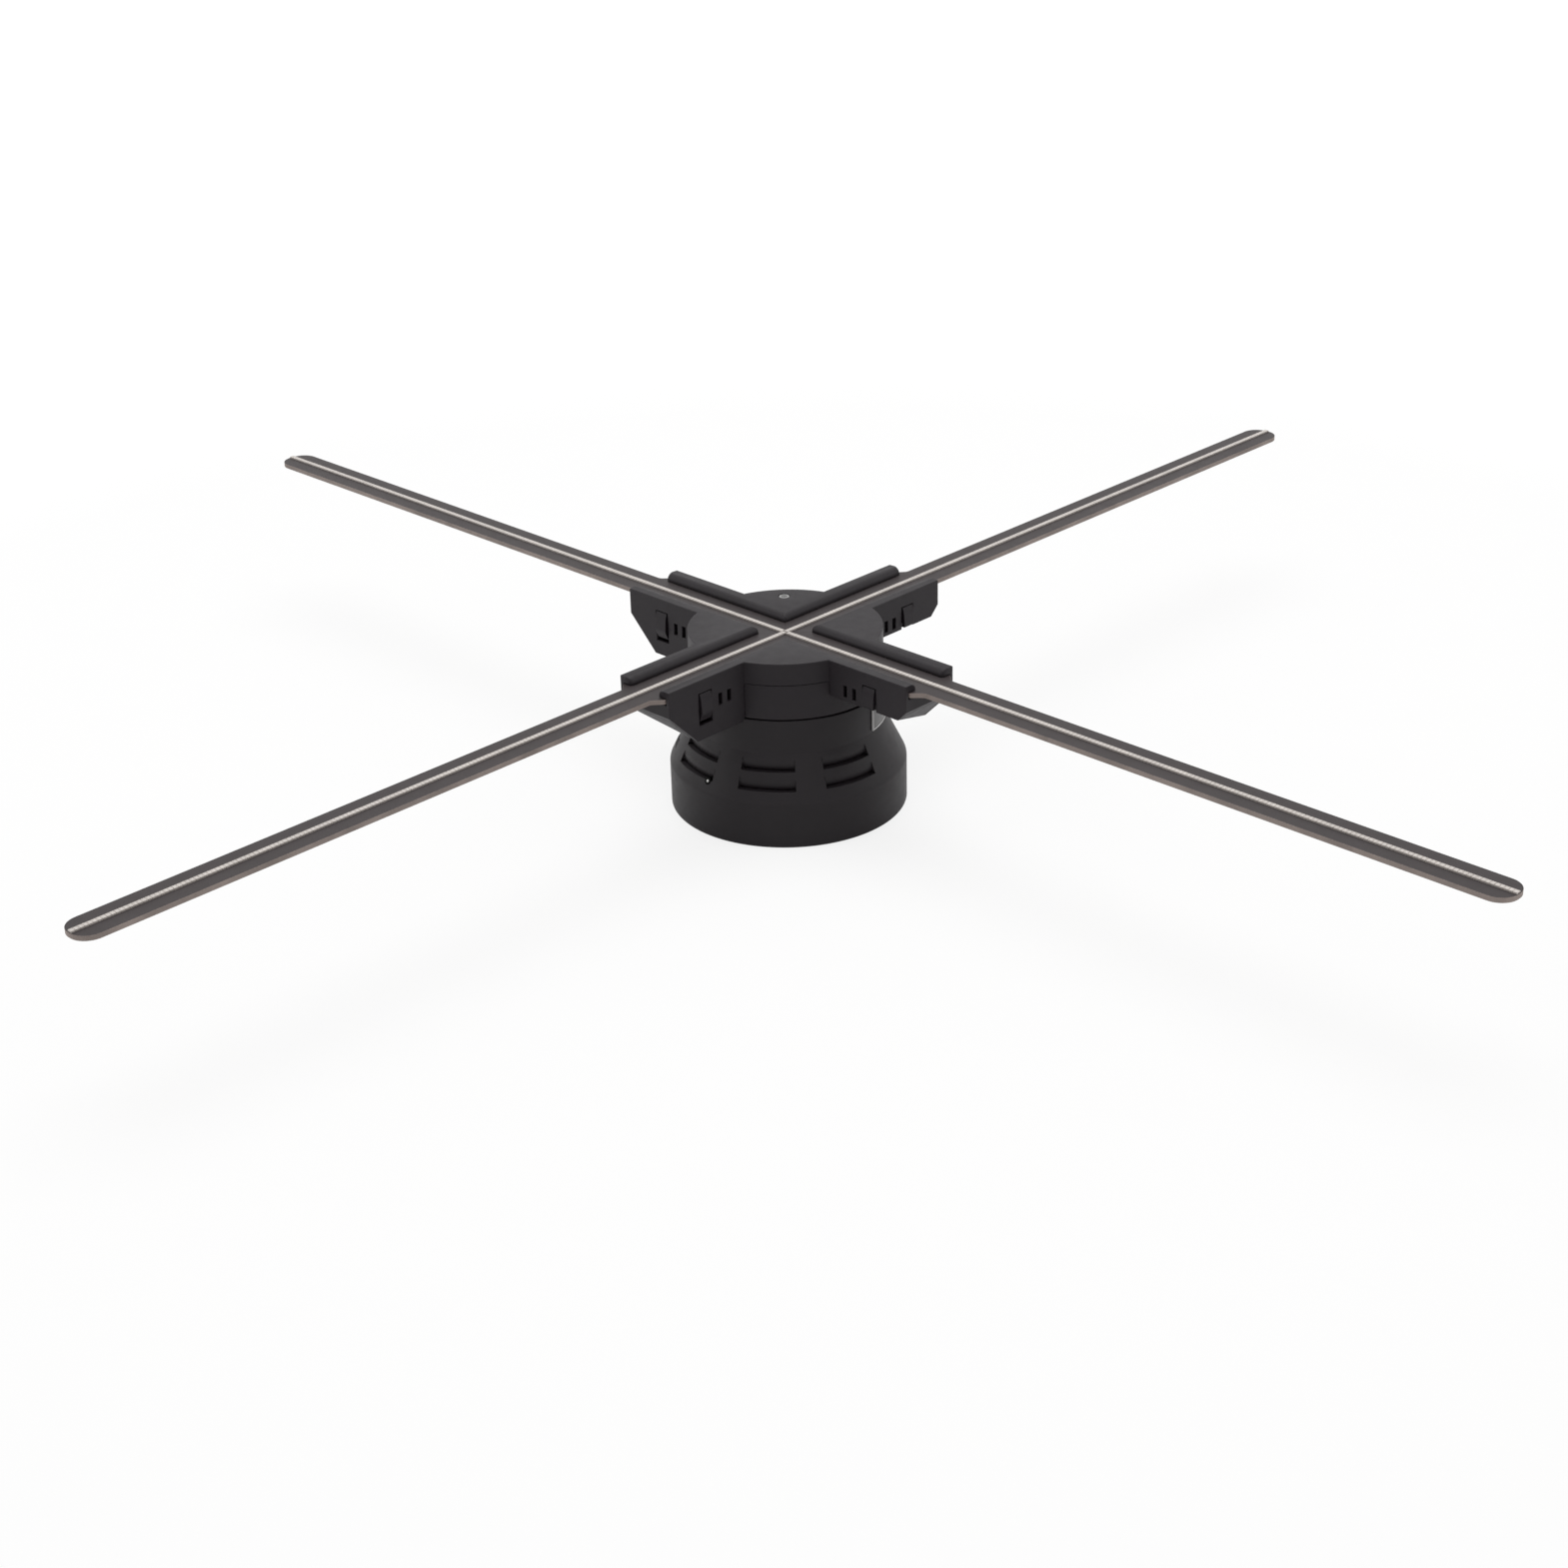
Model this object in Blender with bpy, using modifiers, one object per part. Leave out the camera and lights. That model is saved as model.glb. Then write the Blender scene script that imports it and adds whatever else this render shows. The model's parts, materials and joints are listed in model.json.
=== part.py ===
"""Four-blade LED display fan: a vented base, a spinning cross-shaped hub and four plug-in blades.

Metres, +Z up. The origin is the centre of the flat underside and the spin axis is +Z.
The front is -Y. The blades point to 45, 135, 225 and 315 degrees from +X.
"""

import math

import bmesh
import bpy
from mathutils import Matrix, Vector

MM = 0.001

# Fits
CLEARANCE = 0.3 * MM
SPINDLE_CLEARANCE = 0.15 * MM
OVERSHOOT = 2.0 * MM

# Base housing and its plate
BASE_RADIUS = 47.7 * MM
BASE_WALL_HEIGHT = 18.5 * MM
SHOULDER_HEIGHT = 18.0 * MM
NECK_RADIUS = 39.0 * MM
NECK_HEIGHT = 13.5 * MM
HOUSING_WALL = 2.0 * MM
SHOULDER_WALL = 4.4 * MM
CREASE_RADIUS = 4.0 * MM
EDGE_RADIUS = 0.8 * MM
RIM_RADIUS = 0.3 * MM
PLATE_THICKNESS = 3.0 * MM
SCREW_COUNT = 4
SCREW_RADIUS = 1.3 * MM
SCREW_LENGTH = 10.0 * MM
SCREW_HEAD_RADIUS = 2.6 * MM
SCREW_HEAD_HEIGHT = 1.4 * MM
BOSS_RADIUS = 3.6 * MM

# Vents in the shoulder
VENT_GROUPS = 8
VENT_FIRST_ANGLE = math.radians(-11.6)
VENT_SWEEP = math.radians(29.6)
BLANK_GROUP = 2
VENT_HEIGHT = 3.3 * MM
VENT_DEPTH = 2.2 * MM
VENT_TOP_STEP = 0.08 * MM
VENT_SLOT = 0.9 * MM
UPPER_VENT_DROP = 6.5 * MM
LOWER_VENT_DROP = 13.4 * MM

# Small pieces on the base
LAMP_ANGLE = math.radians(-44.5)
LAMP_HEIGHT = 22.9 * MM
LAMP_RADIUS = 0.75 * MM
LAMP_LENGTH = 6.0 * MM
NECK_PLATE_START = math.radians(57.5)
NECK_PLATE_SWEEP = math.radians(30.0)
NECK_PLATE_HEIGHT = 9.0 * MM
NECK_PLATE_THICKNESS = 0.6 * MM
NECK_PLATE_LIFT = 0.8 * MM
INLET_HEIGHT = 9.8 * MM
INLET_RADIUS = 4.2 * MM
INLET_FLANGE_RADIUS = 5.6 * MM
INLET_BORE_RADIUS = 2.9 * MM
INLET_BORE_DEPTH = 9.0 * MM
INLET_PIN_RADIUS = 0.9 * MM
INLET_LENGTH = 11.0 * MM

# Electronics in the base
BOARD_THICKNESS = 1.6 * MM
DRIVER_INLET_GAP = 2.4 * MM
DRIVER_INNER_RADIUS = 21.5 * MM
POST_RADIUS = 2.2 * MM
DRIVER_POST_HEIGHT = 4.6 * MM
DRIVER_POST_COUNT = 3
COIL_INNER_RADIUS = 18.0 * MM
COIL_OUTER_RADIUS = 33.0 * MM
COIL_THICKNESS = 2.2 * MM

# Motor
SPINDLE_RADIUS = 2.5 * MM
MOUNT_FLANGE_RADIUS = 18.0 * MM
MOUNT_FLANGE_THICKNESS = 3.0 * MM
MOUNT_TUBE_WALL = 2.3 * MM
MOUNT_RIB = 1.5 * MM
BEARING_RADIUS = 5.5 * MM
BEARING_HEIGHT = 5.0 * MM
CLIP_ROOM = 4.0 * MM
CLIP_RADIUS = 4.4 * MM
CLIP_THICKNESS = 0.8 * MM
BEARING_SPACING = 16.0 * MM
STATOR_HEIGHT = 14.0 * MM
STATOR_LIFT = 9.0 * MM
STATOR_YOKE = 4.0 * MM
STATOR_RADIUS = 22.0 * MM
STATOR_SHOE = 2.0 * MM
STATOR_SHOE_SWEEP = math.radians(46.0)
TOOTH_COUNT = 6
TOOTH_WIDTH = 5.0 * MM
WIRE_BUILD = 2.4 * MM
AIR_GAP = 0.7 * MM
MAGNET_THICKNESS = 3.0 * MM
MAGNET_HEIGHT = 16.0 * MM
BELL_WALL = 2.0 * MM
BELL_BOSS_RADIUS = 7.0 * MM
FLANGE_RADIUS = 12.0 * MM
NUT_RADIUS = 5.2 * MM
NUT_HEIGHT = 3.6 * MM
SPINDLE_STAND = 1.5 * MM

# Hub
RUNNING_GAP = 0.9 * MM
DRUM_RADIUS = 38.7 * MM
DRUM_HEIGHT = 23.3 * MM
DRUM_WALL = 2.2 * MM
COVER_SKIRT = 9.0 * MM
COVER_SKIN = 2.2 * MM
HUB_FLOOR = 2.2 * MM
SPIGOT_WALL = 1.8 * MM
SPIGOT_HEIGHT = 1.4 * MM
MAIN_BOARD_RADIUS = 31.0 * MM
MAIN_BOARD_HOLE = 8.0 * MM
MAIN_POST_CIRCLE = 13.0 * MM
MAIN_POST_HEIGHT = 5.0 * MM
LENS_RADIUS = 2.1 * MM
LENS_FLANGE = 0.6 * MM
LENS_FLANGE_HEIGHT = 1.1 * MM
LENS_SET_BACK = 31.5 * MM

# Arms of the hub
ARM_ANGLES = [math.radians(angle) for angle in (45.0, 135.0, 225.0, 315.0)]
ARM_WIDTH = 26.8 * MM
ARM_REACH = 76.0 * MM
ARM_WALL = 1.8 * MM
ARM_DEEP_DEPTH = 24.8 * MM
ARM_SHALLOW_DEPTH = 14.9 * MM
ARM_END_DROP = 10.7 * MM
GROOVE_CLEARANCE = 0.2 * MM
LIP_OVERHANG = 0.5 * MM
LIP_ROUNDING = 2.6 * MM
LIP_ARC = math.radians(75.0)
LIP_NOSE_RADIUS = 1.0 * MM
LIP_NOSE_LEAST = 0.3 * MM
LIP_END_RADIUS = 1.4 * MM
GROOVE_FLOOR = 1.6 * MM
UNDERSIDE_THICKNESS = 2.2 * MM
LATCH_SET_BACK = 21.75 * MM
LATCH_LENGTH = 5.9 * MM
LATCH_DROP = 5.7 * MM
LATCH_SIDE_GAP = 0.5 * MM
LATCH_END_GAP = 1.5 * MM
LATCH_SHALLOW_HEIGHT = 8.4 * MM
LATCH_DEEP_HEIGHT = 11.4 * MM
LATCH_THICKNESS = 1.4 * MM
LATCH_PROUD = 0.8 * MM
LATCH_SWING_ROOM = 1.6 * MM
SLOT_SHARES = (0.46, 0.72)
SLOT_WIDTH = 1.9 * MM
SLOT_DROP = 8.6 * MM
SLOT_HEIGHT = 4.8 * MM
CONTACT_INSET = 0.5 * MM
CONTACT_LENGTH = 7.5 * MM
CONTACT_WIDTH = 10.0 * MM
CONTACT_HEIGHT = 4.0 * MM

# Blades
BLADE_DROP = 3.05 * MM
BLADE_THICKNESS = 2.1 * MM
BLADE_WIDTH = 15.4 * MM
BLADE_REACH = 326.0 * MM
BLADE_CORNER = 6.0 * MM
ROOT_WIDTH = 22.8 * MM
ROOT_SET_OUT = 3.3 * MM
ROOT_SHOW = 0.3 * MM
ROOT_TAPER = 4.0 * MM
MITRE_GAP = 0.4 * MM
LED_WIDTH = 2.0 * MM
LED_HEIGHT = 0.7 * MM
LED_LIFT = 0.2 * MM
LED_TIP_MARGIN = 1.0 * MM

# Heights that follow from the sizes above
SHOULDER_TOP = BASE_WALL_HEIGHT + SHOULDER_HEIGHT
NECK_TOP = SHOULDER_TOP + NECK_HEIGHT
DRUM_BOTTOM = NECK_TOP + RUNNING_GAP
COVER_TOP = DRUM_BOTTOM + DRUM_HEIGHT
SEAM = COVER_TOP - COVER_SKIRT
BLADE_TOP = COVER_TOP - BLADE_DROP
BLADE_BOTTOM = BLADE_TOP - BLADE_THICKNESS
GROOVE_BOTTOM = BLADE_BOTTOM - CLEARANCE
POCKET_TOP = GROOVE_BOTTOM - GROOVE_FLOOR
ARM_DEEP_BOTTOM = COVER_TOP - ARM_DEEP_DEPTH
ARM_SHALLOW_BOTTOM = COVER_TOP - ARM_SHALLOW_DEPTH
ARM_END_BOTTOM = COVER_TOP - ARM_END_DROP
FLOOR_TOP = DRUM_BOTTOM + HUB_FLOOR

# Widths that follow from the sizes above
HOUSING_INSIDE = BASE_RADIUS - HOUSING_WALL
INLET_MOUTH = BASE_RADIUS - CLEARANCE
DRIVER_OUTER_RADIUS = INLET_MOUTH - INLET_LENGTH - DRIVER_INLET_GAP
DRUM_INSIDE = DRUM_RADIUS - DRUM_WALL
GROOVE_HALF = BLADE_WIDTH / 2 + GROOVE_CLEARANCE
LIP_HALF = BLADE_WIDTH / 2 - LIP_OVERHANG
ARM_HALF = ARM_WIDTH / 2
ARM_INSIDE = ARM_HALF - ARM_WALL
ARM_START = math.sqrt(DRUM_RADIUS ** 2 - ARM_HALF ** 2)
LATCH_START = ARM_REACH - LATCH_SET_BACK
ROOT_START = DRUM_RADIUS + ROOT_SET_OUT
CONTACT_START = ROOT_START + CONTACT_INSET
ARM_SLOPE = (ARM_SHALLOW_BOTTOM - ARM_DEEP_BOTTOM) / ARM_WIDTH
SPINDLE_HOLE = SPINDLE_RADIUS + SPINDLE_CLEARANCE

FINE_STEPS = 64
MEDIUM_STEPS = 40
SMALL_STEPS = 20

for old in list(bpy.data.objects):
    bpy.data.objects.remove(old)

PARTS = bpy.data.collections.new("led_display_fan")
CUTTERS = bpy.data.collections.new("cutters")
bpy.context.scene.collection.children.link(PARTS)
bpy.context.scene.collection.children.link(CUTTERS)


def material(name, color, roughness, metallic=0.0):
    """A plain finish of one colour."""
    made = bpy.data.materials.new(name)
    made.use_nodes = True
    shader = made.node_tree.nodes["Principled BSDF"]
    shader.inputs["Base Color"].default_value = (*color, 1.0)
    shader.inputs["Roughness"].default_value = roughness
    shader.inputs["Metallic"].default_value = metallic
    made.diffuse_color = (*color, 1.0)
    return made


HOUSING_PLASTIC = material("housing_plastic", (0.045, 0.042, 0.045), 0.55)
HUB_PLASTIC = material("hub_plastic", (0.055, 0.050, 0.053), 0.50)
LATCH_PLASTIC = material("latch_plastic", (0.050, 0.046, 0.049), 0.50)
BOARD_LACQUER = material("board_lacquer", (0.070, 0.062, 0.055), 0.45)
LED_CREAM = material("led_cream", (0.62, 0.57, 0.47), 0.40)
LAMP_CLEAR = material("lamp_clear", (0.90, 0.90, 0.88), 0.25)
BLANK_PLATE = material("blank_plate", (0.20, 0.20, 0.20), 0.45)
INLET_PLASTIC = material("inlet_plastic", (0.020, 0.020, 0.020), 0.40)
GREEN_BOARD = material("green_board", (0.020, 0.100, 0.045), 0.45)
MOTOR_ALUMINIUM = material("motor_aluminium", (0.55, 0.55, 0.56), 0.35, 1.0)
BEARING_STEEL = material("bearing_steel", (0.60, 0.60, 0.60), 0.25, 1.0)
CORE_STEEL = material("core_steel", (0.30, 0.30, 0.31), 0.45, 1.0)
COPPER_WIRE = material("copper_wire", (0.55, 0.22, 0.09), 0.40, 1.0)
MAGNET_GREY = material("magnet_grey", (0.09, 0.09, 0.09), 0.60)
SCREW_STEEL = material("screw_steel", (0.22, 0.22, 0.22), 0.40, 1.0)


def rounded(points, segments=3):
    """The closed outline (x, y, radius), each corner with a radius turned into an arc."""
    outline = []
    for index, (x, y, radius) in enumerate(points):
        if radius <= 0.0:
            outline.append((x, y))
            continue
        before = points[index - 1]
        after = points[(index + 1) % len(points)]
        to_before = math.atan2(before[1] - y, before[0] - x)
        to_after = math.atan2(after[1] - y, after[0] - x)
        turn = (to_after - to_before + math.pi) % (2 * math.pi) - math.pi
        reach = radius / math.tan(abs(turn) / 2)
        middle = to_before + turn / 2
        away = radius / math.sin(abs(turn) / 2)
        centre_x = x + away * math.cos(middle)
        centre_y = y + away * math.sin(middle)
        first_x = x + reach * math.cos(to_before)
        first_y = y + reach * math.sin(to_before)
        start = math.atan2(first_y - centre_y, first_x - centre_x)
        sweep = -math.copysign(math.pi - abs(turn), turn)
        for step in range(segments + 1):
            angle = start + sweep * step / segments
            outline.append((centre_x + radius * math.cos(angle), centre_y + radius * math.sin(angle)))
    return outline


def place(obj, collection, location=(0.0, 0.0, 0.0), rotation=(0.0, 0.0, 0.0)):
    collection.objects.link(obj)
    obj.location = location
    obj.rotation_euler = rotation
    return obj


def part(name, mesh, finish, location=(0.0, 0.0, 0.0), rotation=(0.0, 0.0, 0.0)):
    """A named piece of the fan."""
    mesh.materials.clear()
    mesh.materials.append(finish)
    mesh.set_sharp_from_angle(angle=math.radians(35.0))
    return place(bpy.data.objects.new(name, mesh), PARTS, location, rotation)


def cutter(name, mesh, location=(0.0, 0.0, 0.0), rotation=(0.0, 0.0, 0.0)):
    """A hidden helper that only shapes other pieces."""
    obj = place(bpy.data.objects.new(name, mesh), CUTTERS, location, rotation)
    obj.hide_render = True
    obj.display_type = "WIRE"
    return obj


def combine(target, helper, operation="DIFFERENCE"):
    modifier = target.modifiers.new(helper.name, "BOOLEAN")
    modifier.operation = operation
    modifier.solver = "EXACT"
    modifier.object = helper


def soften(obj, width, segments=1):
    modifier = obj.modifiers.new("edges", "BEVEL")
    modifier.width = width
    modifier.segments = segments
    modifier.limit_method = "ANGLE"
    modifier.angle_limit = math.radians(40.0)


def from_bmesh(name, shape):
    bmesh.ops.recalc_face_normals(shape, faces=shape.faces[:])
    mesh = bpy.data.meshes.new(name)
    shape.to_mesh(mesh)
    shape.free()
    return mesh


def add_box(shape, low, high, turn=0.0):
    """Adds a box between two corners, turned about the spin axis."""
    size = [high[axis] - low[axis] for axis in range(3)]
    middle = [(high[axis] + low[axis]) / 2 for axis in range(3)]
    matrix = Matrix.Rotation(turn, 4, "Z") @ Matrix.Translation(middle) @ Matrix.Diagonal((*size, 1.0))
    bmesh.ops.create_cube(shape, size=1.0, matrix=matrix)


def box_mesh(name, low, high):
    shape = bmesh.new()
    add_box(shape, low, high)
    return from_bmesh(name, shape)


def add_rod(shape, radius, low, high, x=0.0, y=0.0, steps=SMALL_STEPS):
    """Adds an upright round rod between two heights."""
    matrix = Matrix.Translation((x, y, (low + high) / 2))
    bmesh.ops.create_cone(
        shape,
        cap_ends=True,
        segments=steps,
        radius1=radius,
        radius2=radius,
        depth=high - low,
        matrix=matrix,
    )


def rod_mesh(name, radius, low, high, x=0.0, y=0.0, steps=SMALL_STEPS):
    shape = bmesh.new()
    add_rod(shape, radius, low, high, x, y, steps)
    return from_bmesh(name, shape)


def turned(name, profile, finish, steps, location=(0.0, 0.0, 0.0), rotation=(0.0, 0.0, 0.0)):
    """A turned piece: the profile (radius, height) runs down its outer side and goes once round."""
    ring = profile[0][0] > 0.0
    count = len(profile)
    edges = [(index, (index + 1) % count) for index in range(count if ring else count - 1)]
    mesh = bpy.data.meshes.new(name)
    mesh.from_pydata([(radius, 0.0, height) for radius, height in profile], edges, [])
    mesh.materials.append(finish)
    obj = place(bpy.data.objects.new(name, mesh), PARTS, location, rotation)
    modifier = obj.modifiers.new("turn", "SCREW")
    modifier.axis = "Z"
    modifier.angle = 2 * math.pi
    modifier.steps = steps
    modifier.render_steps = steps
    modifier.use_merge_vertices = True
    modifier.merge_threshold = 0.00001
    modifier.use_smooth_shade = True
    return obj


def add_sweep(shape, profile, start, sweep, steps):
    """Adds a profile (radius, height) swept part of the way round from the front and closed at its ends."""
    turn = Matrix.Rotation(start - math.pi / 2, 3, "Z")
    points = [shape.verts.new(turn @ Vector((radius, 0.0, height))) for radius, height in profile]
    edges = [shape.edges.new((points[index - 1], points[index])) for index in range(len(points))]
    bmesh.ops.spin(
        shape,
        geom=points + edges,
        cent=(0.0, 0.0, 0.0),
        axis=(0.0, 0.0, 1.0),
        angle=sweep,
        steps=steps,
    )
    bmesh.ops.holes_fill(shape, edges=[edge for edge in shape.edges if edge.is_boundary], sides=0)


def flat_mesh(name, outlines, thickness):
    """A flat plate with its underside at zero: the first outline is its edge, the rest are holes."""
    curve = bpy.data.curves.new(name, "CURVE")
    curve.dimensions = "2D"
    curve.fill_mode = "BOTH"
    curve.extrude = thickness / 2
    for outline in outlines:
        spline = curve.splines.new("POLY")
        spline.points.add(len(outline) - 1)
        for point, (x, y) in zip(spline.points, outline):
            point.co = (x, y, 0.0, 1.0)
        spline.use_cyclic_u = True
    holder = place(bpy.data.objects.new(name, curve), CUTTERS)
    bpy.context.view_layer.update()
    graph = bpy.context.evaluated_depsgraph_get()
    mesh = bpy.data.meshes.new_from_object(holder.evaluated_get(graph))
    bpy.data.objects.remove(holder)
    bpy.data.curves.remove(curve)
    shape = bmesh.new()
    shape.from_mesh(mesh)
    bpy.data.meshes.remove(mesh)
    bmesh.ops.remove_doubles(shape, verts=shape.verts[:], dist=0.000001)
    bmesh.ops.translate(shape, verts=shape.verts[:], vec=(0.0, 0.0, thickness / 2))
    return from_bmesh(name, shape)


def circle(radius, steps):
    return [
        (radius * math.cos(2 * math.pi * index / steps), radius * math.sin(2 * math.pi * index / steps))
        for index in range(steps)
    ]


def shoulder_radius(height):
    """Outer radius of the shoulder cone at a height."""
    share = (height - BASE_WALL_HEIGHT) / SHOULDER_HEIGHT
    return BASE_RADIUS + (NECK_RADIUS - BASE_RADIUS) * share


def around(count, radius, first=0.0):
    """Evenly spaced places (x, y) on a circle."""
    angles = [first + 2 * math.pi * index / count for index in range(count)]
    return [(radius * math.cos(angle), radius * math.sin(angle)) for angle in angles]


def cut_below(shape, point, normal):
    """Cuts a closed shape by a plane, drops what the normal points at and closes the cut."""
    bmesh.ops.bisect_plane(
        shape,
        geom=shape.verts[:] + shape.edges[:] + shape.faces[:],
        dist=0.0000001,
        plane_co=point,
        plane_no=normal,
        clear_outer=True,
    )
    bmesh.ops.holes_fill(shape, edges=[edge for edge in shape.edges if edge.is_boundary], sides=0)


def arm_mesh(name, start, end, half_width, top, lift=0.0):
    """An arm's outline as a solid: slanted underneath and chamfered at its outer end."""
    shape = bmesh.new()
    add_box(shape, (start, -half_width, DRUM_BOTTOM - OVERSHOOT), (end, half_width, top))
    cut_below(shape, (0.0, ARM_HALF, ARM_DEEP_BOTTOM + lift), (0.0, -ARM_SLOPE, -1.0))
    cut_below(shape, (ARM_REACH, 0.0, ARM_END_BOTTOM + lift), (1.0, 0.0, -1.0))
    return from_bmesh(name, shape)


def base_housing():
    """The base shell with its bosses, vents and the holes for the lamp and the inlet."""
    outline = rounded([
        (FLANGE_RADIUS + OVERSHOOT, NECK_TOP, 0.0),
        (NECK_RADIUS, NECK_TOP, RIM_RADIUS),
        (NECK_RADIUS, SHOULDER_TOP, EDGE_RADIUS),
        (BASE_RADIUS, BASE_WALL_HEIGHT, CREASE_RADIUS),
        (BASE_RADIUS, 0.0, EDGE_RADIUS),
        (HOUSING_INSIDE, 0.0, 0.0),
        (HOUSING_INSIDE, BASE_WALL_HEIGHT - HOUSING_WALL, 0.0),
        (BASE_RADIUS - SHOULDER_WALL, BASE_WALL_HEIGHT, 0.0),
        (NECK_RADIUS - SHOULDER_WALL, SHOULDER_TOP, 0.0),
        (NECK_RADIUS - HOUSING_WALL, SHOULDER_TOP + HOUSING_WALL, 0.0),
        (NECK_RADIUS - HOUSING_WALL, NECK_TOP - HOUSING_WALL, 0.0),
        (FLANGE_RADIUS + OVERSHOOT, NECK_TOP - HOUSING_WALL, 0.0),
    ])
    housing = turned("base_housing", outline, HOUSING_PLASTIC, FINE_STEPS)

    circle_radius = HOUSING_INSIDE + CLEARANCE - BOSS_RADIUS
    boss_low = PLATE_THICKNESS + CLEARANCE
    bosses = bmesh.new()
    pilots = bmesh.new()
    for x, y in around(SCREW_COUNT, circle_radius, math.pi / SCREW_COUNT):
        add_rod(bosses, BOSS_RADIUS, boss_low, BASE_WALL_HEIGHT - CREASE_RADIUS, x, y)
        add_rod(pilots, SCREW_RADIUS + CLEARANCE, 0.0, SCREW_LENGTH + CLEARANCE, x, y, steps=12)
    combine(housing, cutter("boss_cutter", from_bmesh("boss_cutter", bosses)), "UNION")
    combine(housing, cutter("pilot_cutter", from_bmesh("pilot_cutter", pilots)))

    vents = bmesh.new()
    for drop in (UPPER_VENT_DROP, LOWER_VENT_DROP):
        low = SHOULDER_TOP - drop
        high = low + VENT_HEIGHT
        slot = low + VENT_SLOT
        depth = VENT_DEPTH * (high - slot) / VENT_HEIGHT
        profile = [
            (shoulder_radius(high) - VENT_TOP_STEP, high),
            (shoulder_radius(slot) - depth, slot),
            (shoulder_radius(slot) - SHOULDER_WALL - OVERSHOOT, slot),
            (shoulder_radius(low) - SHOULDER_WALL - OVERSHOOT, low),
            (shoulder_radius(low) + OVERSHOOT, low),
            (shoulder_radius(high) + OVERSHOOT, high),
        ]
        for group in range(VENT_GROUPS):
            if group == BLANK_GROUP:
                continue
            middle = VENT_FIRST_ANGLE + 2 * math.pi * group / VENT_GROUPS
            add_sweep(vents, profile, middle - VENT_SWEEP / 2, VENT_SWEEP, 6)
    combine(housing, cutter("vent_cutter", from_bmesh("vent_cutter", vents)))

    holes = bmesh.new()
    lamp_out = shoulder_radius(LAMP_HEIGHT)
    add_rod(holes, LAMP_RADIUS + CLEARANCE, lamp_out - LAMP_LENGTH, lamp_out + OVERSHOOT, steps=12)
    lamp_hole = from_bmesh("lamp_cutter", holes)
    combine(housing, cutter("lamp_cutter", lamp_hole, (0.0, 0.0, LAMP_HEIGHT), lamp_turn()))
    inlet_hole = rod_mesh("inlet_cutter", INLET_RADIUS + CLEARANCE,
                          BASE_RADIUS - INLET_LENGTH, BASE_RADIUS + OVERSHOOT)
    combine(housing, cutter("inlet_cutter", inlet_hole, (0.0, 0.0, INLET_HEIGHT), inlet_turn()))
    return housing


def lamp_turn():
    return (math.pi / 2, 0.0, LAMP_ANGLE)


def inlet_turn():
    return (-math.pi / 2, 0.0, 0.0)


def base_closing():
    """The plate under the base with its board posts, and the screws that hold it."""
    circle_radius = HOUSING_INSIDE + CLEARANCE - BOSS_RADIUS
    edge = HOUSING_INSIDE - CLEARANCE
    plate = turned("base_plate", [
        (0.0, PLATE_THICKNESS),
        (edge, PLATE_THICKNESS),
        (edge, 0.0),
        (0.0, 0.0),
    ], HOUSING_PLASTIC, FINE_STEPS)
    posts = bmesh.new()
    post_circle = (DRIVER_INNER_RADIUS + DRIVER_OUTER_RADIUS) / 2
    post_top = PLATE_THICKNESS + DRIVER_POST_HEIGHT
    for x, y in around(DRIVER_POST_COUNT, post_circle, math.pi / 2):
        add_rod(posts, POST_RADIUS, PLATE_THICKNESS / 2, post_top, x, y, steps=12)
    combine(plate, cutter("driver_post_cutter", from_bmesh("driver_post_cutter", posts)), "UNION")
    holes = bmesh.new()
    sinks = bmesh.new()
    sink_top = CLEARANCE + SCREW_HEAD_HEIGHT + CLEARANCE
    for x, y in around(SCREW_COUNT, circle_radius, math.pi / SCREW_COUNT):
        add_rod(holes, SCREW_RADIUS + CLEARANCE, -OVERSHOOT, PLATE_THICKNESS + OVERSHOOT, x, y, steps=12)
        add_rod(sinks, SCREW_HEAD_RADIUS + CLEARANCE, -OVERSHOOT, sink_top, x, y, steps=16)
    combine(plate, cutter("screw_hole_cutter", from_bmesh("screw_hole_cutter", holes)))
    combine(plate, cutter("screw_sink_cutter", from_bmesh("screw_sink_cutter", sinks)))
    head_top = CLEARANCE + SCREW_HEAD_HEIGHT
    for index, (x, y) in enumerate(around(SCREW_COUNT, circle_radius, math.pi / SCREW_COUNT)):
        turned(f"base_screw_{index + 1}", [
            (0.0, SCREW_LENGTH),
            (SCREW_RADIUS, SCREW_LENGTH),
            (SCREW_RADIUS, head_top),
            (SCREW_HEAD_RADIUS, head_top),
            (SCREW_HEAD_RADIUS, CLEARANCE),
            (0.0, CLEARANCE),
        ], SCREW_STEEL, 12, location=(x, y, 0.0))


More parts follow.
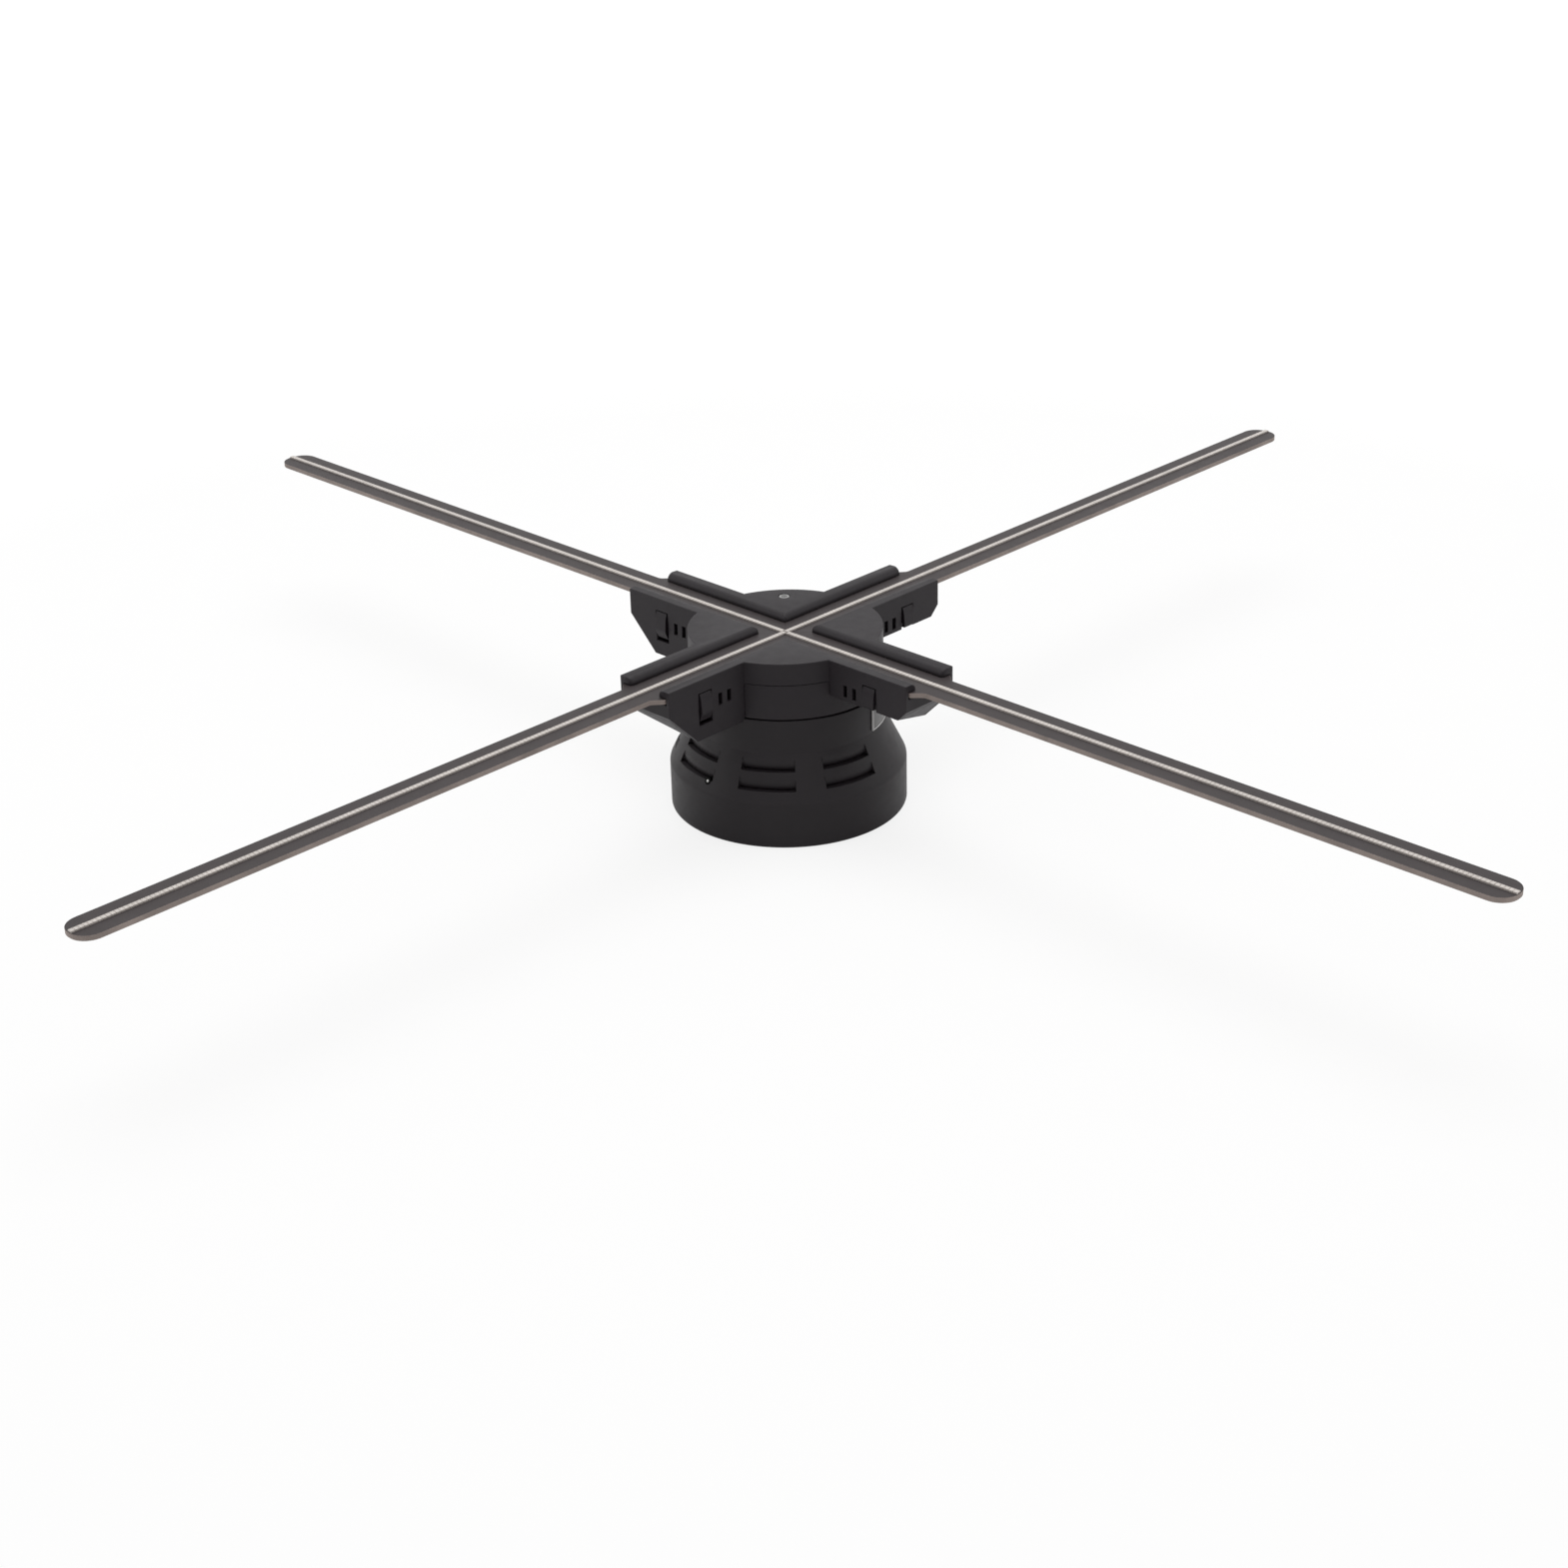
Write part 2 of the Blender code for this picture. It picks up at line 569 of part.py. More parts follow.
def base_fittings():
    """The lamp, the blank plate on the neck, the power inlet and the driver board."""
    lamp_out = shoulder_radius(LAMP_HEIGHT)
    lamp = rod_mesh("status_lamp", LAMP_RADIUS, lamp_out - LAMP_LENGTH, lamp_out, steps=12)
    part("status_lamp", lamp, LAMP_CLEAR, (0.0, 0.0, LAMP_HEIGHT), lamp_turn())

    shape = bmesh.new()
    inner = NECK_RADIUS + CLEARANCE / 2
    low = SHOULDER_TOP + NECK_PLATE_LIFT
    add_sweep(shape, [
        (inner, low + NECK_PLATE_HEIGHT),
        (inner, low),
        (inner + NECK_PLATE_THICKNESS, low),
        (inner + NECK_PLATE_THICKNESS, low + NECK_PLATE_HEIGHT),
    ], NECK_PLATE_START, NECK_PLATE_SWEEP, 10)
    part("neck_plate", from_bmesh("neck_plate", shape), BLANK_PLATE)

    mouth = INLET_MOUTH
    flange_top = math.sqrt(HOUSING_INSIDE ** 2 - INLET_FLANGE_RADIUS ** 2) - CLEARANCE
    turned("power_inlet", [
        (0.0, mouth - INLET_PIN_RADIUS),
        (INLET_PIN_RADIUS, mouth - INLET_PIN_RADIUS),
        (INLET_PIN_RADIUS, mouth - INLET_BORE_DEPTH),
        (INLET_BORE_RADIUS, mouth - INLET_BORE_DEPTH),
        (INLET_BORE_RADIUS, mouth),
        (INLET_RADIUS, mouth),
        (INLET_RADIUS, flange_top),
        (INLET_FLANGE_RADIUS, flange_top),
        (INLET_FLANGE_RADIUS, mouth - INLET_LENGTH),
        (0.0, mouth - INLET_LENGTH),
    ], INLET_PLASTIC, SMALL_STEPS, (0.0, 0.0, INLET_HEIGHT), inlet_turn())

    driver_low = PLATE_THICKNESS + DRIVER_POST_HEIGHT + CLEARANCE
    driver = flat_mesh("driver_board", [
        circle(DRIVER_OUTER_RADIUS, MEDIUM_STEPS),
        circle(DRIVER_INNER_RADIUS, MEDIUM_STEPS),
    ], BOARD_THICKNESS)
    part("driver_board", driver, GREEN_BOARD, (0.0, 0.0, driver_low))


def motor():
    """The bearing tube, bearings, stator, magnet bell, spindle and the pieces that drive the hub."""
    mount_low = PLATE_THICKNESS + CLEARANCE
    flange_top = mount_low + MOUNT_FLANGE_THICKNESS
    bore_low = mount_low + MOUNT_FLANGE_THICKNESS / 2
    lower_low = bore_low + CLIP_ROOM
    rib_low = lower_low + BEARING_HEIGHT + CLEARANCE
    upper_low = rib_low + BEARING_SPACING + CLEARANCE
    tube_top = upper_low + BEARING_HEIGHT + CLEARANCE
    seat = BEARING_RADIUS + SPINDLE_CLEARANCE
    tube = seat + MOUNT_TUBE_WALL
    turned("motor_mount", [
        (0.0, bore_low),
        (seat, bore_low),
        (seat, rib_low),
        (seat - MOUNT_RIB, rib_low),
        (seat - MOUNT_RIB, rib_low + BEARING_SPACING),
        (seat, rib_low + BEARING_SPACING),
        (seat, tube_top),
        (tube, tube_top),
        (tube, flange_top),
        (MOUNT_FLANGE_RADIUS, flange_top),
        (MOUNT_FLANGE_RADIUS, mount_low),
        (0.0, mount_low),
    ], MOTOR_ALUMINIUM, MEDIUM_STEPS)
    for name, low in (("lower_bearing", lower_low), ("upper_bearing", upper_low)):
        ring(name, SPINDLE_HOLE, BEARING_RADIUS, low, low + BEARING_HEIGHT, BEARING_STEEL, 24)

    core_low = flange_top + STATOR_LIFT
    core_inner = tube + CLEARANCE
    core_yoke = core_inner + STATOR_YOKE
    core = flat_mesh("stator_core", [stator_outline(core_yoke), circle(core_inner, 24)], STATOR_HEIGHT)
    part("stator_core", core, CORE_STEEL, (0.0, 0.0, core_low))
    coil_start = core_yoke + CLEARANCE
    coil_end = (STATOR_RADIUS - STATOR_SHOE) * math.cos(STATOR_SHOE_SWEEP / 2) - CLEARANCE
    coil_hole = TOOTH_WIDTH / 2 + CLEARANCE
    for index in range(TOOTH_COUNT):
        turn = 2 * math.pi * index / TOOTH_COUNT
        low = core_low - CLEARANCE
        high = core_low + STATOR_HEIGHT + CLEARANCE
        coil = part(
            f"stator_coil_{index + 1}",
            box_mesh("stator_coil", (coil_start, -coil_hole - WIRE_BUILD, low - WIRE_BUILD),
                     (coil_end, coil_hole + WIRE_BUILD, high + WIRE_BUILD)),
            COPPER_WIRE,
            rotation=(0.0, 0.0, turn),
        )
        gap = cutter(
            f"coil_cutter_{index + 1}",
            box_mesh("coil_cutter", (coil_start - OVERSHOOT, -coil_hole, low),
                     (coil_end + OVERSHOOT, coil_hole, high)),
            rotation=(0.0, 0.0, turn),
        )
        combine(coil, gap)

    magnet_inner = STATOR_RADIUS + AIR_GAP
    magnet_outer = magnet_inner + MAGNET_THICKNESS
    magnet_low = core_low + (STATOR_HEIGHT - MAGNET_HEIGHT) / 2
    ring("magnet_ring", magnet_inner, magnet_outer, magnet_low, magnet_low + MAGNET_HEIGHT,
         MAGNET_GREY, MEDIUM_STEPS)
    bell_inner = magnet_outer + CLEARANCE
    bell_top = tube_top + CLEARANCE + BELL_WALL
    boss_top = NECK_TOP - HOUSING_WALL - RUNNING_GAP
    turned("rotor_bell", [
        (SPINDLE_HOLE, boss_top),
        (BELL_BOSS_RADIUS, boss_top),
        (BELL_BOSS_RADIUS, bell_top),
        (bell_inner + BELL_WALL, bell_top),
        (bell_inner + BELL_WALL, magnet_low),
        (bell_inner, magnet_low),
        (bell_inner, bell_top - BELL_WALL),
        (SPINDLE_HOLE, bell_top - BELL_WALL),
    ], MOTOR_ALUMINIUM, MEDIUM_STEPS)
    ring("drive_flange", SPINDLE_HOLE, FLANGE_RADIUS, boss_top + CLEARANCE, DRUM_BOTTOM - CLEARANCE,
         MOTOR_ALUMINIUM, 32)
    nut_low = FLOOR_TOP + CLEARANCE
    nut = rod_mesh("spindle_nut", NUT_RADIUS, nut_low, nut_low + NUT_HEIGHT, steps=6)
    nut_hole = rod_mesh("nut_cutter", SPINDLE_HOLE, nut_low - OVERSHOOT, nut_low + NUT_HEIGHT + OVERSHOOT)
    combine(part("spindle_nut", nut, SCREW_STEEL), cutter("nut_cutter", nut_hole))
    clip_high = lower_low - CLEARANCE
    ring("spindle_clip", SPINDLE_HOLE, CLIP_RADIUS, clip_high - CLIP_THICKNESS, clip_high, SCREW_STEEL, 16)
    spindle_low = clip_high - CLIP_THICKNESS - SPINDLE_STAND
    spindle_high = nut_low + NUT_HEIGHT + SPINDLE_STAND
    part("spindle", rod_mesh("spindle", SPINDLE_RADIUS, spindle_low, spindle_high), BEARING_STEEL)
    coil_high = NECK_TOP - HOUSING_WALL - CLEARANCE
    ring("transmit_coil", COIL_INNER_RADIUS, COIL_OUTER_RADIUS, coil_high - COIL_THICKNESS, coil_high,
         COPPER_WIRE, MEDIUM_STEPS)


def ring(name, inner, outer, low, high, finish, steps):
    return turned(name, [(inner, high), (outer, high), (outer, low), (inner, low)], finish, steps)


def stator_outline(yoke):
    """Edge of the stator laminations: teeth with wide shoes round a yoke."""
    outline = []
    neck_end = STATOR_RADIUS - STATOR_SHOE
    half = TOOTH_WIDTH / 2
    shoe = STATOR_SHOE_SWEEP / 2
    for index in range(TOOTH_COUNT):
        middle = 2 * math.pi * index / TOOTH_COUNT
        polar = [
            (yoke, -math.asin(half / yoke)),
            (neck_end, -math.asin(half / neck_end)),
            (neck_end, -shoe),
        ]
        polar += [(STATOR_RADIUS, shoe * (step / 3 - 1)) for step in range(7)]
        polar += [
            (neck_end, shoe),
            (neck_end, math.asin(half / neck_end)),
            (yoke, math.asin(half / yoke)),
        ]
        outline += [(radius * math.cos(middle + angle), radius * math.sin(middle + angle))
                    for radius, angle in polar]
    return outline


def merge(shape, other):
    """Adds a second closed shape to the first."""
    mesh = from_bmesh("merge", other)
    shape.from_mesh(mesh)
    bpy.data.meshes.remove(mesh)


def cover_outline():
    """Edge of the hub seen from above: a disc with four arms."""
    outline = []
    root = math.asin(ARM_HALF / DRUM_RADIUS)
    arc = math.pi / 2 - 2 * root
    for angle in ARM_ANGLES:
        for along, across in ((ARM_REACH, -ARM_HALF), (ARM_REACH, ARM_HALF)):
            outline.append((along * math.cos(angle) - across * math.sin(angle),
                            along * math.sin(angle) + across * math.cos(angle)))
        for step in range(13):
            place_on = angle + root + arc * step / 12
            outline.append((DRUM_RADIUS * math.cos(place_on), DRUM_RADIUS * math.sin(place_on)))
    return outline


def groove_outline(half):
    """Edge of the cross groove seen from above: round at the inner noses and at the ends of the lips."""
    nose = max(LIP_NOSE_RADIUS - (half - LIP_HALF), LIP_NOSE_LEAST)
    left = math.pi / 2 - LIP_ARC
    run = LIP_END_RADIUS * (1.0 - math.cos(left)) + CLEARANCE
    flare = half + LIP_END_RADIUS * (1.0 - math.sin(left)) + run / math.tan(left)
    side = [(ARM_REACH + OVERSHOOT, flare), (ARM_REACH + CLEARANCE, flare)]
    for step in range(6):
        angle = -left - LIP_ARC * step / 5
        side.append((ARM_REACH - LIP_END_RADIUS + LIP_END_RADIUS * math.cos(angle),
                     half + LIP_END_RADIUS + LIP_END_RADIUS * math.sin(angle)))
    corner = half + nose
    turns = [-math.pi / 2 - math.pi / 2 * step / 6 for step in range(7)]
    arc = [(corner + nose * math.cos(angle), corner + nose * math.sin(angle)) for angle in turns]
    quarter = side + arc + [(y, x) for x, y in reversed(side)]
    outline = []
    for angle in ARM_ANGLES:
        outline += [(x * math.cos(angle) - y * math.sin(angle), x * math.sin(angle) + y * math.cos(angle))
                    for x, y in quarter]
    return outline


def groove_mesh():
    """The room taken by the cross groove, with the lips reaching over the boards and rounded above."""
    levels = [
        (GROOVE_HALF, GROOVE_BOTTOM),
        (GROOVE_HALF, BLADE_TOP + GROOVE_CLEARANCE),
        (LIP_HALF, BLADE_TOP + GROOVE_CLEARANCE),
    ]
    round_low = COVER_TOP - LIP_ROUNDING
    for step in range(6):
        angle = LIP_ARC * step / 5
        levels.append((LIP_HALF + LIP_ROUNDING * (1.0 - math.cos(angle)),
                       round_low + LIP_ROUNDING * math.sin(angle)))
    rise = COVER_TOP + CLEARANCE - levels[-1][1]
    levels.append((levels[-1][0] + rise * math.tan(LIP_ARC), COVER_TOP + CLEARANCE))
    shape = bmesh.new()
    loops = [[shape.verts.new((x, y, height)) for x, y in groove_outline(half)] for half, height in levels]
    shape.faces.new(reversed(loops[0]))
    shape.faces.new(loops[-1])
    for lower, upper in zip(loops, loops[1:]):
        for index in range(len(lower)):
            shape.faces.new((lower[index - 1], lower[index], upper[index], upper[index - 1]))
    return from_bmesh("groove_cutter", shape)


def hub_cover():
    """The hub's top moulding: disc, cross groove, lips and the hollow arms with their openings."""
    height = COVER_TOP - DRUM_BOTTOM + OVERSHOOT
    low = DRUM_BOTTOM - OVERSHOOT
    cover = part("hub_cover", flat_mesh("hub_cover", [cover_outline()], height), HUB_PLASTIC, (0.0, 0.0, low))

    slants = bmesh.new()
    chamfers = bmesh.new()
    for angle in ARM_ANGLES:
        turn = Matrix.Rotation(angle, 3, "Z")
        corner = (DRUM_INSIDE - ARM_WIDTH / 2, -ARM_HALF - OVERSHOOT, DRUM_BOTTOM - 2 * OVERSHOOT)
        wedge = bmesh.new()
        add_box(wedge, corner, (ARM_REACH + OVERSHOOT, ARM_HALF + OVERSHOOT, SEAM), angle)
        cut_below(wedge, turn @ Vector((0.0, ARM_HALF, ARM_DEEP_BOTTOM)),
                  turn @ Vector((0.0, ARM_SLOPE, 1.0)))
        merge(slants, wedge)
        wedge = bmesh.new()
        add_box(wedge, corner, (ARM_REACH + OVERSHOOT, ARM_HALF + OVERSHOOT, BLADE_BOTTOM), angle)
        cut_below(wedge, turn @ Vector((ARM_REACH, 0.0, ARM_END_BOTTOM)), turn @ Vector((-1.0, 0.0, 1.0)))
        merge(chamfers, wedge)
    combine(cover, cutter("slant_cutter", from_bmesh("slant_cutter", slants)))
    combine(cover, cutter("chamfer_cutter", from_bmesh("chamfer_cutter", chamfers)))

    bowl = rod_mesh("bowl_cutter", DRUM_INSIDE, DRUM_BOTTOM - 2 * OVERSHOOT, POCKET_TOP, steps=FINE_STEPS)
    combine(cover, cutter("bowl_cutter", bowl))
    skirt = rod_mesh("skirt_cutter", DRUM_RADIUS + CLEARANCE, DRUM_BOTTOM - 2 * OVERSHOOT, SEAM,
                     steps=FINE_STEPS)
    combine(cover, cutter("skirt_cutter", skirt))
    combine(cover, cutter("neck_cutter", neck_room()))
    pockets = bmesh.new()
    for angle in ARM_ANGLES:
        add_box(pockets, (DRUM_INSIDE - ARM_WIDTH / 2, -ARM_INSIDE, DRUM_BOTTOM - OVERSHOOT),
                (ARM_REACH - ARM_WALL, ARM_INSIDE, POCKET_TOP - CLEARANCE), angle)
    combine(cover, cutter("pocket_cutter", from_bmesh("pocket_cutter", pockets)))

    web = GROOVE_HALF + ARM_WALL
    rim = DRUM_INSIDE - SPIGOT_WALL
    first = math.asin(web / rim)
    last = math.pi / 2 - first
    sector = [(web, web)]
    for step in range(13):
        angle = first + (last - first) * step / 12
        sector.append((rim * math.cos(angle), rim * math.sin(angle)))
    sector_height = COVER_TOP - COVER_SKIN - POCKET_TOP + OVERSHOOT
    for index, angle in enumerate(ARM_ANGLES):
        pocket = flat_mesh("sector_cutter", [sector], sector_height)
        combine(cover, cutter(f"sector_cutter_{index + 1}", pocket, (0.0, 0.0, POCKET_TOP - OVERSHOOT),
                              (0.0, 0.0, angle)))

    combine(cover, cutter("groove_cutter", groove_mesh()))

    root_half = ROOT_WIDTH / 2 + CLEARANCE
    roots = bmesh.new()
    for angle in ARM_ANGLES:
        add_box(roots, (ROOT_START - CLEARANCE, -root_half, GROOVE_BOTTOM - CLEARANCE / 2),
                (ARM_REACH + OVERSHOOT, root_half, BLADE_TOP + CLEARANCE), angle)
    combine(cover, cutter("root_cutter", from_bmesh("root_cutter", roots)))

    windows = bmesh.new()
    window_top = COVER_TOP - LATCH_DROP + CLEARANCE
    slot_top = COVER_TOP - SLOT_DROP
    for angle in ARM_ANGLES:
        for side_sign, _, low in latch_sides():
            inner = side_sign * (ARM_INSIDE - CLEARANCE / 2)
            outer = side_sign * (ARM_HALF + OVERSHOOT)
            near = min(inner, outer)
            far = max(inner, outer)
            add_box(windows, (LATCH_START - LATCH_SIDE_GAP, near, low),
                    (LATCH_START + LATCH_LENGTH + LATCH_SIDE_GAP, far, window_top), angle)
            for share in SLOT_SHARES:
                position = ARM_START + (LATCH_START - ARM_START) * share
                add_box(windows, (position - SLOT_WIDTH / 2, near, slot_top - SLOT_HEIGHT),
                        (position + SLOT_WIDTH / 2, far, slot_top), angle)
    combine(cover, cutter("window_cutter", from_bmesh("window_cutter", windows)))

    lens_hole = rod_mesh("lens_cutter", LENS_RADIUS + CLEARANCE, POCKET_TOP, COVER_TOP + OVERSHOOT,
                         0.0, LENS_SET_BACK)
    combine(cover, cutter("lens_cutter", lens_hole))
    return cover


def neck_room():
    """Room for the neck between the arms, which hang below the drum."""
    return rod_mesh("neck_cutter", NECK_RADIUS + RUNNING_GAP, DRUM_BOTTOM - 2 * OVERSHOOT,
                    DRUM_BOTTOM - CLEARANCE, steps=FINE_STEPS)


def latch_sides():
    """For each side wall of an arm: its sign across it, and the lower ends of the latch and its window."""
    top = COVER_TOP - LATCH_DROP
    deep = top - LATCH_DEEP_HEIGHT
    shallow = top - LATCH_SHALLOW_HEIGHT
    return ((1.0, deep, deep - LATCH_END_GAP), (-1.0, shallow, shallow - 2 * OVERSHOOT))


def blade_latches():
    """The sprung tongues in the arm walls, each with its origin on the line it bends about."""
    top = COVER_TOP - LATCH_DROP
    for index, angle in enumerate(ARM_ANGLES):
        for side_sign, low, _ in latch_sides():
            letter = "a" if side_sign > 0 else "b"
            shape = bmesh.new()
            add_box(shape, (0.0, -LATCH_THICKNESS, low - top), (LATCH_LENGTH, 0.0, 0.0))
            for vert in shape.verts:
                if vert.co.z < -CLEARANCE and vert.co.y > -CLEARANCE:
                    vert.co.y += LATCH_PROUD
            if side_sign < 0:
                bmesh.ops.scale(shape, verts=shape.verts[:], vec=(1.0, -1.0, 1.0))
            across = side_sign * ARM_HALF
            turn = Matrix.Rotation(angle, 4, "Z")
            location = (turn @ Matrix.Translation((LATCH_START, across, top))).to_translation()
            latch = part(f"blade_latch_{index + 1}{letter}", from_bmesh("blade_latch", shape),
                         LATCH_PLASTIC, location, (0.0, 0.0, angle))
            soften(latch, CLEARANCE / 2)


def arm_undersides():
    """The slanted plates that close the arms from below."""
    half = ARM_INSIDE - CLEARANCE
    start = DRUM_INSIDE - ARM_WIDTH / 2
    end = ARM_REACH - ARM_WALL - CLEARANCE
    for index, angle in enumerate(ARM_ANGLES):
        name = f"arm_underside_{index + 1}"
        plate = part(name, arm_mesh(name, start, end, half, SEAM), HUB_PLASTIC, rotation=(0.0, 0.0, angle))
        inside = arm_mesh("underside_cutter", start - OVERSHOOT, end + OVERSHOOT, half + OVERSHOOT,
                          SEAM + OVERSHOOT, UNDERSIDE_THICKNESS)
        combine(plate, cutter(f"underside_cutter_{index + 1}", inside, rotation=(0.0, 0.0, angle)))
        drum = rod_mesh("drum_cutter", DRUM_RADIUS + CLEARANCE, DRUM_BOTTOM - 2 * OVERSHOOT,
                        SEAM + OVERSHOOT, steps=FINE_STEPS)
        combine(plate, cutter(f"drum_cutter_{index + 1}", drum))
        combine(plate, cutter(f"neck_cutter_{index + 1}", neck_room()))
        notch = box_mesh("notch_cutter",
                         (LATCH_START - LATCH_SWING_ROOM, -ARM_HALF, DRUM_BOTTOM - OVERSHOOT),
                         (LATCH_START + LATCH_LENGTH + LATCH_SWING_ROOM, -half + LATCH_SWING_ROOM,
                          SEAM + OVERSHOOT))
        combine(plate, cutter(f"notch_cutter_{index + 1}", notch, rotation=(0.0, 0.0, angle)))


def hub_inside():
    """The lower drum, the lens, the boards and coil in the hub, and the blade contacts."""
    spigot_out = DRUM_INSIDE - CLEARANCE
    spigot_in = spigot_out - SPIGOT_WALL
    spigot_top = SEAM + SPIGOT_HEIGHT
    outline = rounded([
        (SPINDLE_HOLE, FLOOR_TOP, 0.0),
        (spigot_in, FLOOR_TOP, 0.0),
        (spigot_in, spigot_top, 0.0),
        (spigot_out, spigot_top, 0.0),
        (spigot_out, SEAM - CLEARANCE, 0.0),
        (DRUM_RADIUS, SEAM - CLEARANCE, 0.0),
        (DRUM_RADIUS, DRUM_BOTTOM, RIM_RADIUS),
        (SPINDLE_HOLE, DRUM_BOTTOM, 0.0),
    ])
    shell = turned("hub_shell", outline, HUB_PLASTIC, FINE_STEPS)
    posts = bmesh.new()
    post_top = FLOOR_TOP + MAIN_POST_HEIGHT
    for x, y in around(len(ARM_ANGLES), MAIN_POST_CIRCLE):
        add_rod(posts, POST_RADIUS, FLOOR_TOP - HUB_FLOOR / 2, post_top, x, y, steps=12)
    combine(shell, cutter("main_post_cutter", from_bmesh("main_post_cutter", posts)), "UNION")

    board = flat_mesh("main_board", [
        circle(MAIN_BOARD_RADIUS, MEDIUM_STEPS),
        circle(MAIN_BOARD_HOLE, 24),
    ], BOARD_THICKNESS)
    part("main_board", board, GREEN_BOARD, (0.0, 0.0, post_top + CLEARANCE))
    ring("receive_coil", COIL_INNER_RADIUS, COIL_OUTER_RADIUS, FLOOR_TOP + CLEARANCE,
         FLOOR_TOP + CLEARANCE + COIL_THICKNESS, COPPER_WIRE, MEDIUM_STEPS)

    ledge = COVER_TOP - COVER_SKIN - CLEARANCE
    turned("hub_lens", [
        (0.0, COVER_TOP - CLEARANCE / 2),
        (LENS_RADIUS, COVER_TOP - CLEARANCE / 2),
        (LENS_RADIUS, ledge),
        (LENS_RADIUS + LENS_FLANGE, ledge),
        (LENS_RADIUS + LENS_FLANGE, ledge - LENS_FLANGE_HEIGHT),
        (0.0, ledge - LENS_FLANGE_HEIGHT),
    ], LAMP_CLEAR, SMALL_STEPS, location=(0.0, LENS_SET_BACK, 0.0))

    contact_top = POCKET_TOP - 2 * CLEARANCE
    for index, angle in enumerate(ARM_ANGLES):
        block = box_mesh("contact_block", (CONTACT_START, -CONTACT_WIDTH / 2, contact_top - CONTACT_HEIGHT),
                         (CONTACT_START + CONTACT_LENGTH, CONTACT_WIDTH / 2, contact_top))
        made = part(f"contact_block_{index + 1}", block, INLET_PLASTIC, rotation=(0.0, 0.0, angle))
        soften(made, CLEARANCE)


def blades():
    """The plug-in boards, mitred where they meet at the middle, and the LED row on each."""
    half = BLADE_WIDTH / 2
    root = ROOT_WIDTH / 2
    point = MITRE_GAP / math.sqrt(2.0)
    root_end = ARM_REACH + ROOT_SHOW
    upper = [
        (BLADE_REACH, half, BLADE_CORNER),
        (root_end + ROOT_TAPER, half, 0.0),
        (root_end, root, 0.0),
        (ROOT_START, root, 0.0),
        (ROOT_START, half, 0.0),
        (point + half, half, 0.0),
    ]
    lower = [(along, -across, radius) for along, across, radius in reversed(upper)]
    outline = rounded(upper + [(point, 0.0, 0.0)] + lower, 6)
    for index, angle in enumerate(ARM_ANGLES):
        board = flat_mesh("blade_board", [outline], BLADE_THICKNESS)
        part(f"blade_board_{index + 1}", board, BOARD_LACQUER, (0.0, 0.0, BLADE_BOTTOM), (0.0, 0.0, angle))
        first = CLEARANCE if index % 2 == 0 else LED_WIDTH / 2 + CLEARANCE
        strip = box_mesh("led_row", (first, -LED_WIDTH / 2, LED_LIFT),
                         (BLADE_REACH - LED_TIP_MARGIN, LED_WIDTH / 2, LED_LIFT + LED_HEIGHT))
        part(f"led_row_{index + 1}", strip, LED_CREAM, (0.0, 0.0, BLADE_TOP), (0.0, 0.0, angle))


base_housing()
base_closing()
base_fittings()
motor()
hub_cover()
blade_latches()
arm_undersides()
hub_inside()
blades()
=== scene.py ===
"""Four-blade LED display fan, dressed for a plain studio picture.

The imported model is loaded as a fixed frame. Each class below builds one sub-assembly on it: the vented
base, the fittings on the base, the cross-shaped hub, the four blades, the working parts inside and the
studio. Units are metres, +Z is up, the spin axis is +Z and the front is -Y.
"""

import json
import logging
import math
from dataclasses import dataclass, field
from enum import Enum

import bmesh
import bpy
import numpy as np
from mathutils import Matrix, Vector

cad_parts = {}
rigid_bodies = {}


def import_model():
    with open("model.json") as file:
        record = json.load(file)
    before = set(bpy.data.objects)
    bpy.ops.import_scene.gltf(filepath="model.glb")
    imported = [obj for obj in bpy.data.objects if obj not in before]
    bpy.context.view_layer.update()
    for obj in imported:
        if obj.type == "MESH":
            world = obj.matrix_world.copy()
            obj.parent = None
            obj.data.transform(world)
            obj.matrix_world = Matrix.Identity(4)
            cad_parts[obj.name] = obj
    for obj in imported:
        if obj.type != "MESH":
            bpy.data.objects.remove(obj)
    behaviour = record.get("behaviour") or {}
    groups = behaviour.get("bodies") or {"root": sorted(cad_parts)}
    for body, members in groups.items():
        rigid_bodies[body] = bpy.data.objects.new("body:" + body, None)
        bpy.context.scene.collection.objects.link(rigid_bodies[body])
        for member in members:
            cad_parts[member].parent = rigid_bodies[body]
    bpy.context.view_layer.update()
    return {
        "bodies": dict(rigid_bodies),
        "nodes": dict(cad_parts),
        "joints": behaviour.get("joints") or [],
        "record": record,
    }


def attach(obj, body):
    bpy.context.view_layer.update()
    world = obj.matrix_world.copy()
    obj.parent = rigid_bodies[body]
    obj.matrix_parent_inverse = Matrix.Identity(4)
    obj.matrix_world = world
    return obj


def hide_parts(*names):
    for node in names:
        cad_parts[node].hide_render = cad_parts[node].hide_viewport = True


LOG = logging.getLogger("display_fan")
MM = 0.001
TURN = 2.0 * math.pi

# Angles in degrees above which an edge shades sharp, is rounded, or parts two faces of a CAD copy.
SHARP_ANGLE = 32.0
ROUND_ANGLE = 38.0
FLAT_ANGLE = 0.6

# Distances within which points count as one, and within which an edge counts as lying at a level.
MERGE_DISTANCE = 0.002 * MM
SNAP_DISTANCE = 0.001 * MM
LEVEL_BAND = 0.05 * MM

# Steps in the arc of a rounded corner, in that of a small block and across a soft edge.
ARC_STEPS = 8
BLOCK_STEPS = 2
SOFT_STEPS = 2

# Limits that keep a drawn-in path from dividing by nothing and from running out into long points.
NEARLY_ZERO = 1e-12
MITRE_LIMIT = 0.5

